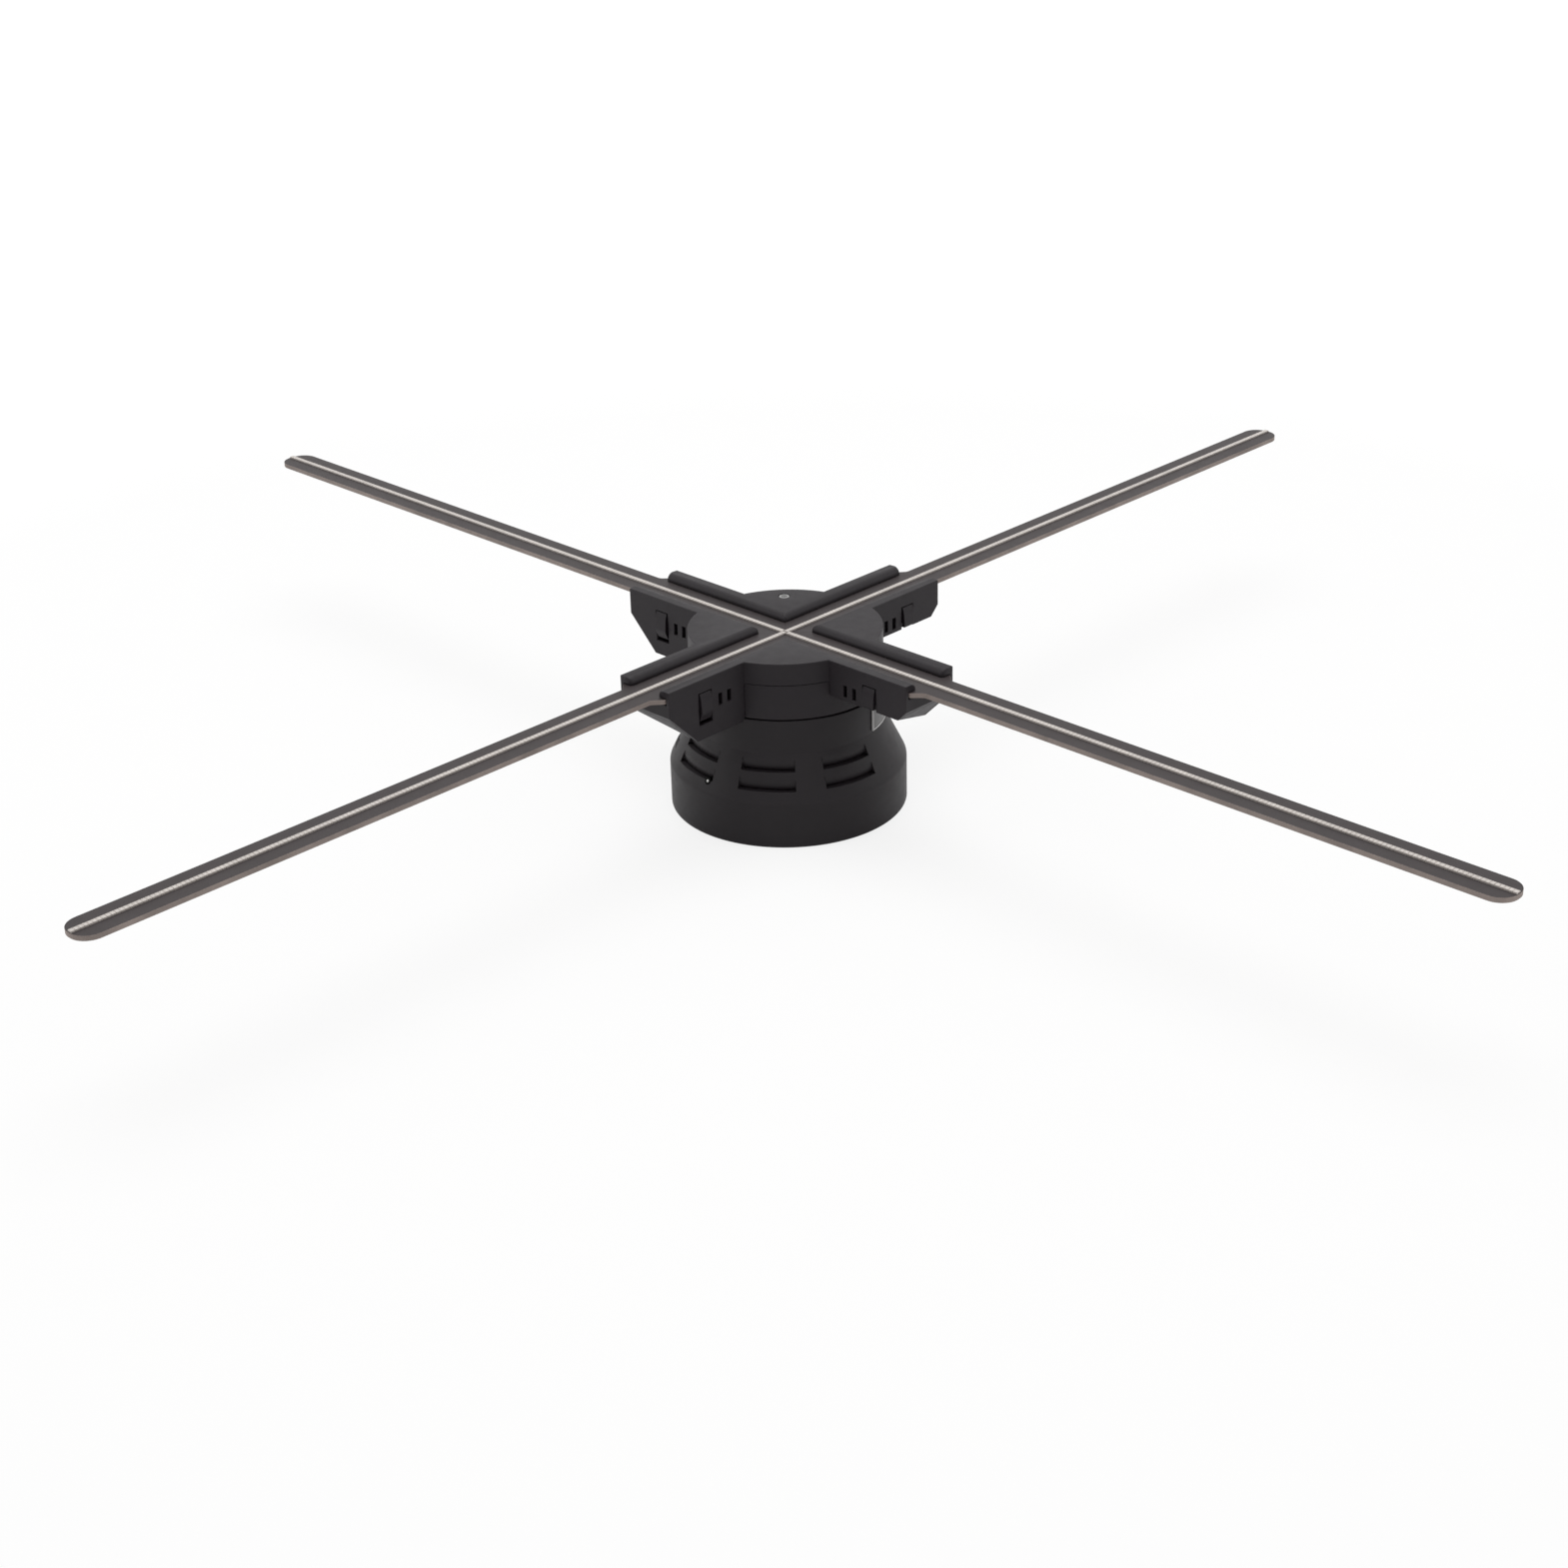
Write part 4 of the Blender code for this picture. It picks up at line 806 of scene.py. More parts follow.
@dataclass
class BaseHousing:
    """The round base: straight wall, conical shoulder with scooped vents, and neck."""

    radius: float = 47.7 * MM
    wall_height: float = 18.5 * MM
    shoulder_top: float = 36.5 * MM
    neck_radius: float = 39.0 * MM
    neck_top: float = 50.35 * MM
    wall: float = 2.0 * MM
    shoulder_wall: float = 4.4 * MM
    crease: float = 4.0 * MM
    edge: float = 0.8 * MM
    rim: float = 0.3 * MM
    mouth: float = 14.0 * MM
    groups: int = 8
    blank_group: int = 2
    first_angle: float = math.radians(-101.6)
    sweep: float = math.radians(29.6)
    vent_height: float = 4.8 * MM
    vent_depth: float = 2.1 * MM
    vent_curve: float = 1.7
    slot_height: float = 0.35 * MM
    slot_depth: float = 4.1 * MM
    drops: tuple[float, float] = (6.5 * MM, 13.4 * MM)
    vent_steps: int = 8
    vent_columns: int = 13
    gap_columns: int = 9
    inlet_height: float = 9.8 * MM
    inlet_room: float = 4.5 * MM
    inlet_patch: float = 6.4 * MM
    inlet_cut: float = 8.0 * MM
    inlet_sides: int = 48
    soft_edge: float = 0.2 * MM
    soft_angle: float = 40.0

    def cone(self, height: np.ndarray) -> np.ndarray:
        """Outer radius of the shoulder at a height, on the straight line from wall to neck."""
        share = (height - self.wall_height) / (self.shoulder_top - self.wall_height)
        return self.radius + (self.neck_radius - self.radius) * share

    def tilt(self) -> float:
        """Angle by which the shoulder faces upward."""
        return math.atan2(self.radius - self.neck_radius, self.shoulder_top - self.wall_height)

    def vent_rows(self, low: float) -> np.ndarray:
        """Rows of one vent: its back falls away as a power of the drop, down to a deep slot.

        Args:
            low: Height of the vent's lower lip.

        Returns:
            Height of each row and how far it is pushed in.
        """
        share = np.linspace(0.0, 1.0, self.vent_steps)
        slot = low + self.slot_height
        back = np.column_stack([
            low + self.vent_height + share * (self.slot_height - self.vent_height),
            self.vent_depth * share ** self.vent_curve,
        ])
        return np.concatenate([back, [[slot, self.slot_depth], [low, self.slot_depth], [low, 0.0]]])

    def rows(self) -> tuple[np.ndarray, np.ndarray]:
        """Lays out the profile from the mouth, down the outside and back up the inside.

        Returns:
            Radius and height of each row, and how far each row is pushed in where there is a vent.
        """
        outside = rounded([
            (self.mouth, self.neck_top, 0.0),
            (self.neck_radius, self.neck_top, self.rim),
            (self.neck_radius, self.shoulder_top, self.edge),
            (self.radius, self.wall_height, self.crease),
            (self.radius, 0.0, self.edge),
            (self.radius - self.wall, 0.0, 0.0),
            (self.radius - self.wall, self.wall_height - self.wall, 0.0),
            (self.radius - self.shoulder_wall, self.wall_height, 0.0),
            (self.neck_radius - self.shoulder_wall, self.shoulder_top, 0.0),
            (self.neck_radius - self.wall, self.shoulder_top + self.wall, 0.0),
            (self.neck_radius - self.wall, self.neck_top - self.wall, 0.0),
            (self.mouth, self.neck_top - self.wall, 0.0),
        ])
        vents = np.concatenate([self.vent_rows(self.shoulder_top - drop) for drop in self.drops])
        # The mouth is one point and a rounded corner an arc. Two arcs lie above the vents, the crease below.
        arc = ARC_STEPS + 1
        split = 1 + 2 * arc
        crease_end = split + arc
        wall_lines = self.inlet_height + self.inlet_patch * np.array([1.0, 0.0, -1.0])
        profile = np.concatenate([
            outside[:split],
            np.column_stack([self.cone(vents[:, 0]), vents[:, 0]]),
            outside[split:crease_end],
            np.column_stack([np.full_like(wall_lines, self.radius), wall_lines]),
            outside[crease_end:],
        ])
        push = np.zeros(len(profile))
        push[split:split + len(vents)] = vents[:, 1]
        return profile, push

    def columns(self) -> tuple[np.ndarray, np.ndarray]:
        """Lays out the angles round the base, doubled at the ends of every vent.

        Returns:
            The angles, and whether each one lies in a vent.
        """
        middle = self.first_angle + TURN * np.arange(self.groups)[:, None] / self.groups
        gap = TURN / self.groups - self.sweep
        inside = middle - self.sweep / 2 + self.sweep * np.linspace(0.0, 1.0, self.vent_columns)
        between = middle + self.sweep / 2 + gap * np.linspace(0.0, 1.0, self.gap_columns)
        angles = np.concatenate([inside, between], axis=1)
        flags = np.concatenate([np.ones_like(inside), np.zeros_like(between)], axis=1)
        flags[self.blank_group] = 0.0
        return angles.ravel(), flags.ravel()

    def shell(self) -> Surface:
        """Covers the housing: a point is the profile turned about the axis, pushed in where there is a vent.

        Returns:
            The closed surface.
        """
        profile, push = self.rows()
        angles, flags = self.columns()
        radius = profile[:, 0][:, None] - push[:, None] * flags[None, :]
        height = np.broadcast_to(profile[:, 1][:, None], radius.shape)
        points = np.stack([radius * np.cos(angles), radius * np.sin(angles), height], axis=-1)
        return Surface.grid(points, wrap_rows=True, wrap_columns=True)

    def build(self) -> None:
        """Builds the housing with its inlet hole."""
        mesh = self.shell().mesh("base housing", merge=MERGE_DISTANCE)
        made = piece(mesh, "base_housing_moulding", "base", "housing_plastic", HOUSING_PLASTIC)
        self.cut_inlet(made)
        bevel(made, self.soft_edge, self.soft_angle)
        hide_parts("base_housing")

    def cut_inlet(self, made: bpy.types.Object) -> None:
        """Opens the round hole for the inlet in the back wall.

        Args:
            made: The housing.
        """
        shape = bmesh.new()
        place = Matrix.Translation((0.0, self.radius, self.inlet_height))
        bmesh.ops.create_cone(
            shape,
            cap_ends=True,
            segments=self.inlet_sides,
            radius1=self.inlet_room,
            radius2=self.inlet_room,
            depth=self.inlet_cut,
            matrix=place @ Matrix.Rotation(math.pi / 2, 4, "X"),
        )
        mesh = bpy.data.meshes.new("inlet hole")
        shape.to_mesh(mesh)
        shape.free()
        helper = bpy.data.objects.new("inlet hole", mesh)
        bpy.context.scene.collection.objects.link(helper)
        cut = made.modifiers.new("inlet hole", "BOOLEAN")
        cut.object = helper
        cut.solver = "EXACT"
        bpy.context.view_layer.update()
        graph = bpy.context.evaluated_depsgraph_get()
        result = bpy.data.meshes.new_from_object(made.evaluated_get(graph))
        made.modifiers.remove(cut)
        bpy.data.objects.remove(helper)
        bpy.data.meshes.remove(mesh)
        old = made.data
        made.data = result
        bpy.data.meshes.remove(old)
        smooth(result)


@dataclass
class BaseFittings:
    """The status lamp, the blank plate on the neck, the inlet, the closing plate and its screws."""

    housing: BaseHousing
    lamp_angle: float = math.radians(-134.5)
    lamp_height: float = 22.9 * MM
    lamp_radius: float = 0.60 * MM
    lamp_dome: float = 0.25 * MM
    lamp_socket: float = 1.55 * MM
    lamp_sink: float = 0.6 * MM
    lamp_gap: float = 0.1 * MM
    lamp_rim: float = 0.25 * MM
    lamp_lip: float = 0.05 * MM
    lamp_tail: float = 1.6 * MM
    lamp_pole: float = 0.00001 * MM
    lamp_rows: int = 7
    lamp_sides: int = 24
    plate_start: float = math.radians(-32.5)
    plate_sweep: float = math.radians(30.0)
    plate_low: float = 37.3 * MM
    plate_height: float = 9.0 * MM
    plate_inner: float = 39.15 * MM
    plate_thickness: float = 0.6 * MM
    plate_border: float = 0.55 * MM
    plate_sink: float = 0.15 * MM
    plate_columns: int = 20
    lid_edge: float = 0.25 * MM
    lid_shortest: float = 1.2 * MM
    inlet_edge: float = 0.2 * MM
    screw_count: int = 4
    screw_circle: float = 42.4 * MM
    # Radii of the rings of points on the screw's head, in millimetres.
    screw_rings: tuple[float, ...] = (0.02, 0.35, 0.38, 0.8, 1.1, 1.35, 1.4, 1.9, 2.3, 2.5, 2.6)
    screw_sides: int = 72
    screw_rim: float = 2.4 * MM
    cross_half: float = 0.36 * MM
    cross_reach: float = 1.38 * MM
    cross_depth: float = 0.8 * MM
    screw_low: float = 0.3 * MM
    screw_high: float = 1.7 * MM
    screw_radius: float = 1.3 * MM
    screw_length: float = 10.0 * MM

    def lamp(self) -> Surface:
        """A short rod with a domed end: its profile is turned, then set square to the sloping shoulder.

        Returns:
            The lamp.
        """
        out = float(self.housing.cone(np.array(self.lamp_height)))
        angle = np.linspace(0.0, math.pi / 2, self.lamp_rows)
        dome = np.column_stack([self.lamp_radius * np.sin(angle), out + self.lamp_dome * np.cos(angle)])
        dome[0, 0] = self.lamp_pole
        ring = np.array([
            (self.lamp_radius, out - self.lamp_sink),
            (self.lamp_radius + self.lamp_gap, out - self.lamp_sink),
            (self.lamp_radius + self.lamp_rim, out + self.lamp_rim),
            (self.lamp_socket, out + self.lamp_lip),
            (self.lamp_socket, out - self.lamp_tail),
        ])
        made = Surface.revolve(np.concatenate([dome, ring]), self.lamp_sides, closed=False)
        # The dome wears the clear finish, and the socket ring round it wears near-black painted shade.
        made.tags = np.repeat([0] * (len(dome) - 1) + [1] * len(ring), self.lamp_sides)
        x, y, along = made.points.T
        tilt = self.housing.tilt()
        radius = out + (along - out) * math.cos(tilt) - y * math.sin(tilt)
        height = self.lamp_height + (along - out) * math.sin(tilt) + y * math.cos(tilt)
        cos, sin = math.cos(self.lamp_angle), math.sin(self.lamp_angle)
        made.points = np.column_stack([radius * cos - x * sin, radius * sin + x * cos, height])
        return made

    def plate(self) -> Surface:
        """A thin plate bent round the neck, with a raised border.

        Rows run over the plate's height and thickness, columns round the neck: (r cos a, r sin a, z).

        Returns:
            The plate.
        """
        outer = self.plate_inner + self.plate_thickness
        field_radius = outer - self.plate_sink
        low, high = self.plate_low, self.plate_low + self.plate_height
        edge = self.plate_border / outer
        angles = self.plate_start + np.concatenate([
            [0.0, 0.0, edge, edge],
            np.linspace(edge, self.plate_sweep - edge, self.plate_columns)[1:-1],
            [self.plate_sweep - edge, self.plate_sweep - edge, self.plate_sweep, self.plate_sweep],
        ])
        # The outermost column at each end lies at the plate's back, and the next two carry the raised border.
        count = len(angles)
        raised = np.zeros(count)
        raised[1:3] = 1.0
        raised[-3:-1] = 1.0
        inside = np.ones(count)
        inside[[0, -1]] = 0.0
        border = self.plate_border
        heights = np.array([low, low, low + border, low + border, high - border, high - border, high, high])
        rim = np.array([0.0, 1.0, 1.0, 0.0, 0.0, 1.0, 1.0, 0.0])
        sunk = np.array([0.0, 0.0, 0.0, 1.0, 1.0, 0.0, 0.0, 0.0])
        frame = np.maximum(rim[:, None], raised[None, :]) * inside[None, :]
        frame[[0, -1], :] = 0.0
        flat = sunk[:, None] * (inside - raised)[None, :]
        radius = self.plate_inner + frame * self.plate_thickness
        radius = np.where(flat > 0.0, field_radius, radius)
        points = np.stack([
            radius * np.cos(angles),
            radius * np.sin(angles),
            np.broadcast_to(heights[:, None], radius.shape),
        ], axis=-1)
        made = Surface.grid(points)
        # The sunk field is the one row of faces between the borders, and all else wears the border's pale
        # colour, a painted highlight along the rim.
        tags = np.ones((len(heights) - 1, count - 1), dtype=int)
        tags[3, 3:-3] = 0
        made.tags = tags.ravel()
        return made

    def screw(self) -> Surface:
        """A turned screw whose flat head faces down, with a cross pressed into it.

        The head is a polar grid: its height rises where the point lies within a bar of the cross.

        Returns:
            The screw at the axis.
        """
        angle = np.linspace(0.0, TURN, self.screw_sides, endpoint=False)
        rings = np.array(self.screw_rings) * MM
        shank = np.array([
            (rings[-1], self.screw_high),
            (self.screw_radius, self.screw_high),
            (self.screw_radius, self.screw_length),
            (rings[0], self.screw_length),
        ])
        radius = np.concatenate([rings, shank[:, 0]])[:, None]
        x = radius * np.cos(angle)
        y = radius * np.sin(angle)
        z = np.broadcast_to(self.screw_low + np.maximum(radius - self.screw_rim, 0.0), x.shape).copy()
        bar = np.minimum(np.abs(x), np.abs(y)) < self.cross_half
        z[bar & (radius < self.cross_reach)] += self.cross_depth
        z[len(rings):] = shank[:, 1:]
        return Surface.grid(np.stack([x, y, z], axis=-1), wrap_rows=True, wrap_columns=True)

    def build(self, nodes: dict[str, bpy.types.Object]) -> None:
        """Builds the fittings.

        Args:
            nodes: The CAD nodes by name.
        """
        # The lamp's socket ring is painted near-black as shade.
        lamp = self.lamp().mesh("lamp")
        made = piece(lamp, "status_lamp_lens", "base", "lamp_clear", CLEAR_PLASTIC, LAMP_SOCKET_SHADE)
        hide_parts("status_lamp")
        plate = self.plate().mesh("neck plate", merge=MERGE_DISTANCE)
        # The plate's raised border wears a pale painted highlight.
        made = piece(plate, "neck_plate_film", "base", "blank_plate", BLANK_FILM, FILM_BORDER_HIGHLIGHT)
        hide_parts("neck_plate")
        lid = CadCopy(nodes["base_plate"])
        soft_copy(lid, "base", "housing_plastic", HOUSING_PLASTIC, self.lid_edge, self.lid_shortest)
        inlet = CadCopy(nodes["power_inlet"])
        soft_copy(inlet, "base", "inlet_plastic", INLET_PLASTIC, self.inlet_edge)
        for index in range(self.screw_count):
            angle = math.pi / self.screw_count + TURN * index / self.screw_count
            shift = (self.screw_circle * math.cos(angle), self.screw_circle * math.sin(angle), 0.0)
            mesh = self.screw().moved(shift=shift).mesh("base screw")
            screw = piece(mesh, f"base_screw_{index + 1}_head", "base", "screw_steel", DARK_STEEL)
            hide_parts(f"base_screw_{index + 1}")


@dataclass
class Hub:
    """The spinning hub: its cross-shaped top moulding, drum, arm undersides, latches and lens."""

    drum_radius: float = 38.7 * MM
    drum_bottom: float = 50.9 * MM
    seam: float = 65.2 * MM
    top: float = 74.2 * MM
    seam_gap: float = 0.12 * MM
    edge: float = 0.2 * MM
    bore: float = 2.65 * MM
    floor: float = 2.2 * MM
    spigot_out: float = 36.2 * MM
    spigot_in: float = 34.4 * MM
    spigot_height: float = 1.4 * MM
    post_radius: float = 2.2 * MM
    post_circle: float = 13.0 * MM
    post_height: float = 5.0 * MM
    post_count: int = 4
    post_steps: int = 5
    spigot_edge: float = 0.3 * MM
    seam_edge: float = 0.12 * MM
    drum_sides: int = 128
    lens_radius: float = 2.1 * MM
    lens_inner: float = 1.25 * MM
    lens_back: float = 31.5 * MM
    lens_flange: float = 2.7 * MM
    lens_sink: float = 0.15 * MM
    lens_floor: float = 0.35 * MM
    lens_rise: float = 0.3 * MM
    lens_curve: float = 0.98
    lens_chamfer: float = 0.1 * MM
    lens_shoulder: float = 2.5 * MM
    lens_depth: float = 3.6 * MM
    lens_pole: float = 0.01
    lens_rows: int = 7
    lens_sides: int = 40
    groove_floor: float = 68.75 * MM
    soft_edge: float = 0.3 * MM
    latch_edge: float = 0.15 * MM
    cover_shortest: float = 1.2 * MM
    underside_shortest: float = 1.0 * MM
    bow_depths: tuple[float, ...] = (0.0, 1.5 * MM, 3.0 * MM, 7.4 * MM, 8.6 * MM, 9.6 * MM, 11.4 * MM)
    bow_heights: tuple[float, ...] = (0.0, 0.45 * MM, 0.8 * MM, 1.1 * MM, 0.85 * MM, 0.35 * MM, -0.5 * MM)
    bow_step: float = 0.4 * MM
    stop_top: float = 2.1 * MM
    stop_bottom: float = 7.0 * MM
    stop_edge: float = 0.1 * MM
    # Stem and stop plate: where each starts and ends behind the face, and how far it reaches past the sides.
    stops: tuple[tuple[float, float, float], ...] = (
        (0.2 * MM, 2.0 * MM, -0.8 * MM),
        (1.9 * MM, 2.4 * MM, 1.1 * MM),
    )

    def drum(self) -> Surface:
        """The lower drum: its wall and floor turned about the axis, with the posts for the board.

        Returns:
            The drum.
        """
        floor_top = self.drum_bottom + self.floor
        spigot_top = self.seam + self.spigot_height
        profile = rounded([
            (self.bore, floor_top, 0.0),
            (self.spigot_in, floor_top, 0.0),
            (self.spigot_in, spigot_top, self.spigot_edge),
            (self.spigot_out, spigot_top, self.spigot_edge),
            (self.spigot_out, self.seam - self.seam_gap, 0.0),
            (self.drum_radius, self.seam - self.seam_gap, self.seam_edge),
            (self.drum_radius, self.drum_bottom, self.edge),
            (self.bore, self.drum_bottom, 0.0),
        ])
        size = self.post_radius
        square = [(-size, -size, size), (size, -size, size), (size, size, size), (-size, size, size)]
        circle = rounded(square, self.post_steps)
        post = slab(circle, floor_top - self.floor / 2, floor_top + self.post_height, self.edge)
        turns = [TURN * index / self.post_count for index in range(self.post_count)]
        posts = [post.moved(turn, (self.post_circle, 0.0, 0.0)) for turn in turns]
        return Surface.revolve(profile, self.drum_sides).joined(*posts)

    def lens(self) -> Surface:
        """A shallow dome in a flat ring: its profile is turned about its own axis.

        Returns:
            The lens.
        """
        lip, inner = self.top - self.lens_sink, self.lens_inner
        shoulder, bottom = self.top - self.lens_shoulder, self.top - self.lens_depth
        bowl = np.linspace(self.lens_pole, 1.0, self.lens_rows)
        rise = self.lens_rise * np.sqrt(1.0 - self.lens_curve * bowl ** 2)
        dome = np.column_stack([inner * bowl, lip - self.lens_floor + rise])
        ring = np.array([
            (inner, lip - self.lens_floor),
            (inner + self.lens_chamfer, lip),
            (self.lens_radius - self.lens_chamfer, lip),
            (self.lens_radius, lip - self.lens_chamfer),
            (self.lens_radius, shoulder),
            (self.lens_flange, shoulder),
            (self.lens_flange, bottom),
            (self.lens_pole * inner, bottom),
        ])
        made = Surface.revolve(np.concatenate([dome, ring]), self.lens_sides)
        made.tags = np.repeat([1] * len(dome) + [0] * len(ring), self.lens_sides)
        return made

    def tongue(self, copy: CadCopy, arm: Arm, wall: Wall) -> Surface:
        """A latch tongue: oblongs stacked downwards, pushed out as a bow that turns in at the free end.

        A stem and a stop plate behind the wall close the gaps beside it to the eye.

        Args:
            copy: Copy of the CAD tongue, which has no bow.
            arm: Arm that it is part of.
            wall: Wall of the arm that it is cut into.

        Returns:
            The tongue in place.
        """
        along = np.array((math.cos(arm.angle), math.sin(arm.angle), 0.0))
        inward = wall.inward * np.array((-along[1], along[0], 0.0))
        run, sunk, height = copy.points @ along, copy.points @ inward, copy.points[:, 2]
        top = height.max()
        face, back = sunk[height > top - self.bow_step].min(), sunk.max()
        depths = np.linspace(0.0, top - height.min(), 2 + int((top - height.min()) / self.bow_step))
        bow = np.interp(depths, self.bow_depths, self.bow_heights)
        oblong = ((run.min(), face), (run.max(), face), (run.max(), back), (run.min(), back))
        loops = [
            [start * along + (behind - out) * inward + (0.0, 0.0, top - depth) for start, behind in oblong]
            for depth, out in zip(depths, bow)
        ]
        made = Surface.stack(np.array(loops[::-1] if wall is Wall.SHALLOW else loops))
        for near, far, margin in self.stops:
            across = sorted((wall.inward * (face + near), wall.inward * (face + far)))
            low = (run.min() - margin, across[0], top - self.stop_bottom)
            high = (run.max() + margin, across[1], top - self.stop_top)
            made = made.joined(block(low, high, self.stop_edge).moved(arm.angle))
        return made

    def build(self, nodes: dict[str, bpy.types.Object]) -> None:
        """Builds the hub.

        Args:
            nodes: The CAD nodes by name.
        """
        plastic = ("rotor", "hub_plastic", HUB_PLASTIC)
        cover = CadCopy(nodes["hub_cover"])
        soft_copy(cover, *plastic, self.soft_edge, self.cover_shortest, self.groove_floor)
        drum = piece(self.drum().mesh("hub drum"), "hub_shell_drum", *plastic)
        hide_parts("hub_shell")
        lens_mesh = self.lens().moved(shift=(0.0, self.lens_back, 0.0)).mesh("hub lens")
        lens = piece(lens_mesh, "hub_lens_window", "rotor", "lamp_clear", LENS_RING, LENS_DOME)
        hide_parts("hub_lens")
        for arm in Arm:
            underside = CadCopy(nodes[f"arm_underside_{arm.value}"])
            soft_copy(underside, *plastic, self.soft_edge, self.underside_shortest)
            for wall in Wall:
                body = f"latch_{arm.value}{wall.value}"
                name = f"blade_{body}"
                mesh = self.tongue(CadCopy(nodes[name]), arm, wall).mesh(f"{name} tongue")
                made = piece(mesh, f"{name}_tongue", body, "latch_plastic", LATCH_PLASTIC)
                bevel(made, self.latch_edge)
                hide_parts(name)


@dataclass
class Blade:
    """A plug-in blade: circuit board, its row of LEDs and the parts on its underside."""

    arm: Arm
    low: float = 69.25 * MM
    high: float = 71.15 * MM
    width: float = 15.4 * MM
    reach: float = 326.0 * MM
    corner: float = 7.2 * MM
    root_width: float = 22.8 * MM
    root_start: float = 42.2 * MM
    root_end: float = 76.2 * MM
    root_taper: float = 4.0 * MM
    taper_round: float = 3.0 * MM
    shoulder_round: float = 0.8 * MM
    root_round: float = 0.6 * MM
    neck_round: float = 0.3 * MM
    outline_steps: int = 14
    mitre: float = 0.02 * MM
    edge: float = 0.05 * MM
    led_count: int = 192
    led_end: float = 325.7 * MM
    led_length: float = 1.60 * MM
    led_width: float = 2.0 * MM
    led_height: float = 0.65 * MM
    # Where the row of LEDs starts, on arms with an even number and on those with an odd one.
    led_firsts: tuple[float, float] = (1.3 * MM, 0.3 * MM)
    led_edge: float = 0.05 * MM
    led_frame: float = 0.25 * MM
    led_bezel: float = 0.30 * MM
    led_sink: float = 0.04 * MM
    chip_count: int = 12
    chip_size: float = 5.0 * MM
    chip_height: float = 0.85 * MM
    chip_first: float = 100.0 * MM
    chip_edge: float = 0.15 * MM
    foot_count: int = 8
    foot_spread: float = 0.42
    foot_half: float = 0.16 * MM
    foot_reach: float = 0.7 * MM
    foot_height: float = 0.14 * MM
    foot_edge: float = 0.04 * MM
    cap_long: float = 0.5 * MM
    cap_wide: float = 0.28 * MM
    cap_height: float = 0.5 * MM
    cap_edge: float = 0.06 * MM
    cap_along: tuple[float, ...] = (5.2 * MM, 6.8 * MM, 6.8 * MM)
    cap_across: tuple[float, ...] = (0.0, 1.4 * MM, -1.4 * MM)
    finger_start: float = 43.0 * MM
    finger_end: float = 49.0 * MM
    finger_half: float = 0.55 * MM
    finger_height: float = 0.04 * MM
    finger_edge: float = 0.01 * MM
    finger_spread: float = 4.0 * MM
    finger_count: int = 6

    def outline(self) -> np.ndarray:
        """Edge of the board seen from above, anticlockwise, along the arm.

        Returns:
            Points of the edge.
        """
        half, root = self.width / 2, self.root_width / 2
        point = self.mitre / math.sqrt(2.0)
        upper = [
            (self.reach, half, self.corner),
            (self.root_end + self.root_taper, half, self.taper_round),
            (self.root_end, root, self.shoulder_round),
            (self.root_start, root, self.root_round),
            (self.root_start, half, self.neck_round),
            (point + half, half, 0.0),
        ]
        lower = [(along, -across, radius) for along, across, radius in reversed(upper)]
        return rounded(upper + [(point, 0.0, 0.0)] + lower, self.outline_steps)

    def board(self) -> Surface:
        """The board: its outline stacked over its thickness, with bare edges outside the hub.

        Returns:
            The board along the first axis.
        """
        made = slab(self.outline(), self.low, self.high, self.edge, 1, 0)
        along = made.points[made.quads][:, :, 0].mean(axis=1)
        made.tags = np.where(along < self.root_start, 0, made.tags)
        return made

    def led(self) -> Surface:
        """One LED: five oblong loops stacked into a body with a sunk window.

        Returns:
            The LED at the origin.
        """
        long, wide, tall = self.led_length / 2, self.led_width / 2, self.led_height
        levels = [
            (0.0, 0.0),
            (0.0, tall - self.led_edge),
            (self.led_edge, tall),
            (self.led_frame, tall),
            (self.led_bezel, tall - self.led_sink),
        ]
        corners = np.array([(-1.0, -1.0), (1.0, -1.0), (1.0, 1.0), (-1.0, 1.0)])
        loops = [
            np.column_stack([corners * (long - away, wide - away), np.full(4, height)])
            for away, height in levels
        ]
        return Surface.stack(np.stack(loops), cap_tags=(0, 1))

    def led_row(self) -> Surface:
        """All LEDs of the blade, evenly spaced from the middle to the tip.

        Returns:
            The row.
        """
        first = self.led_firsts[self.arm.value % 2]
        pitch = (self.led_end - first) / self.led_count
        along = first + pitch * (np.arange(self.led_count) + 0.5)
        return self.led().tiled(as_shifts(along, height=self.high))

    def underside(self) -> Surface:
        """Driver chips with their solder feet, and small capacitors beside each, under the board.

        Returns:
            All of them together.
        """
        half, top = self.chip_size / 2, self.low
        chip = block((-half, -half, top - self.chip_height), (half, half, top), self.chip_edge)
        long, wide = self.foot_half, half + self.foot_reach
        foot = block((-long, -wide, top - self.foot_height), (long, wide, top), self.foot_edge, 1)
        spots = np.linspace(-self.foot_spread, self.foot_spread, self.foot_count) * self.chip_size
        long, wide = self.cap_long, self.cap_wide
        cap = block((-long, -wide, top - self.cap_height), (long, wide, top), self.cap_edge, 1)
        caps = cap.tiled(as_shifts(self.cap_along, self.cap_across))
        pitch = (self.reach - 2 * self.corner - self.chip_first) / self.chip_count
        along = self.chip_first + pitch * np.arange(self.chip_count)
        return chip.joined(foot.tiled(as_shifts(spots)), caps).tiled(as_shifts(along))

    def contacts(self) -> Surface:
        """Gold fingers under the root, where the hub's contacts touch the board.

        Returns:
            The fingers.
        """
        low = (self.finger_start, -self.finger_half, self.low - self.finger_height)
        high = (self.finger_end, self.finger_half, self.low)
        across = np.linspace(-self.finger_spread, self.finger_spread, self.finger_count)
        return block(low, high, self.finger_edge).tiled(as_shifts(across=across))

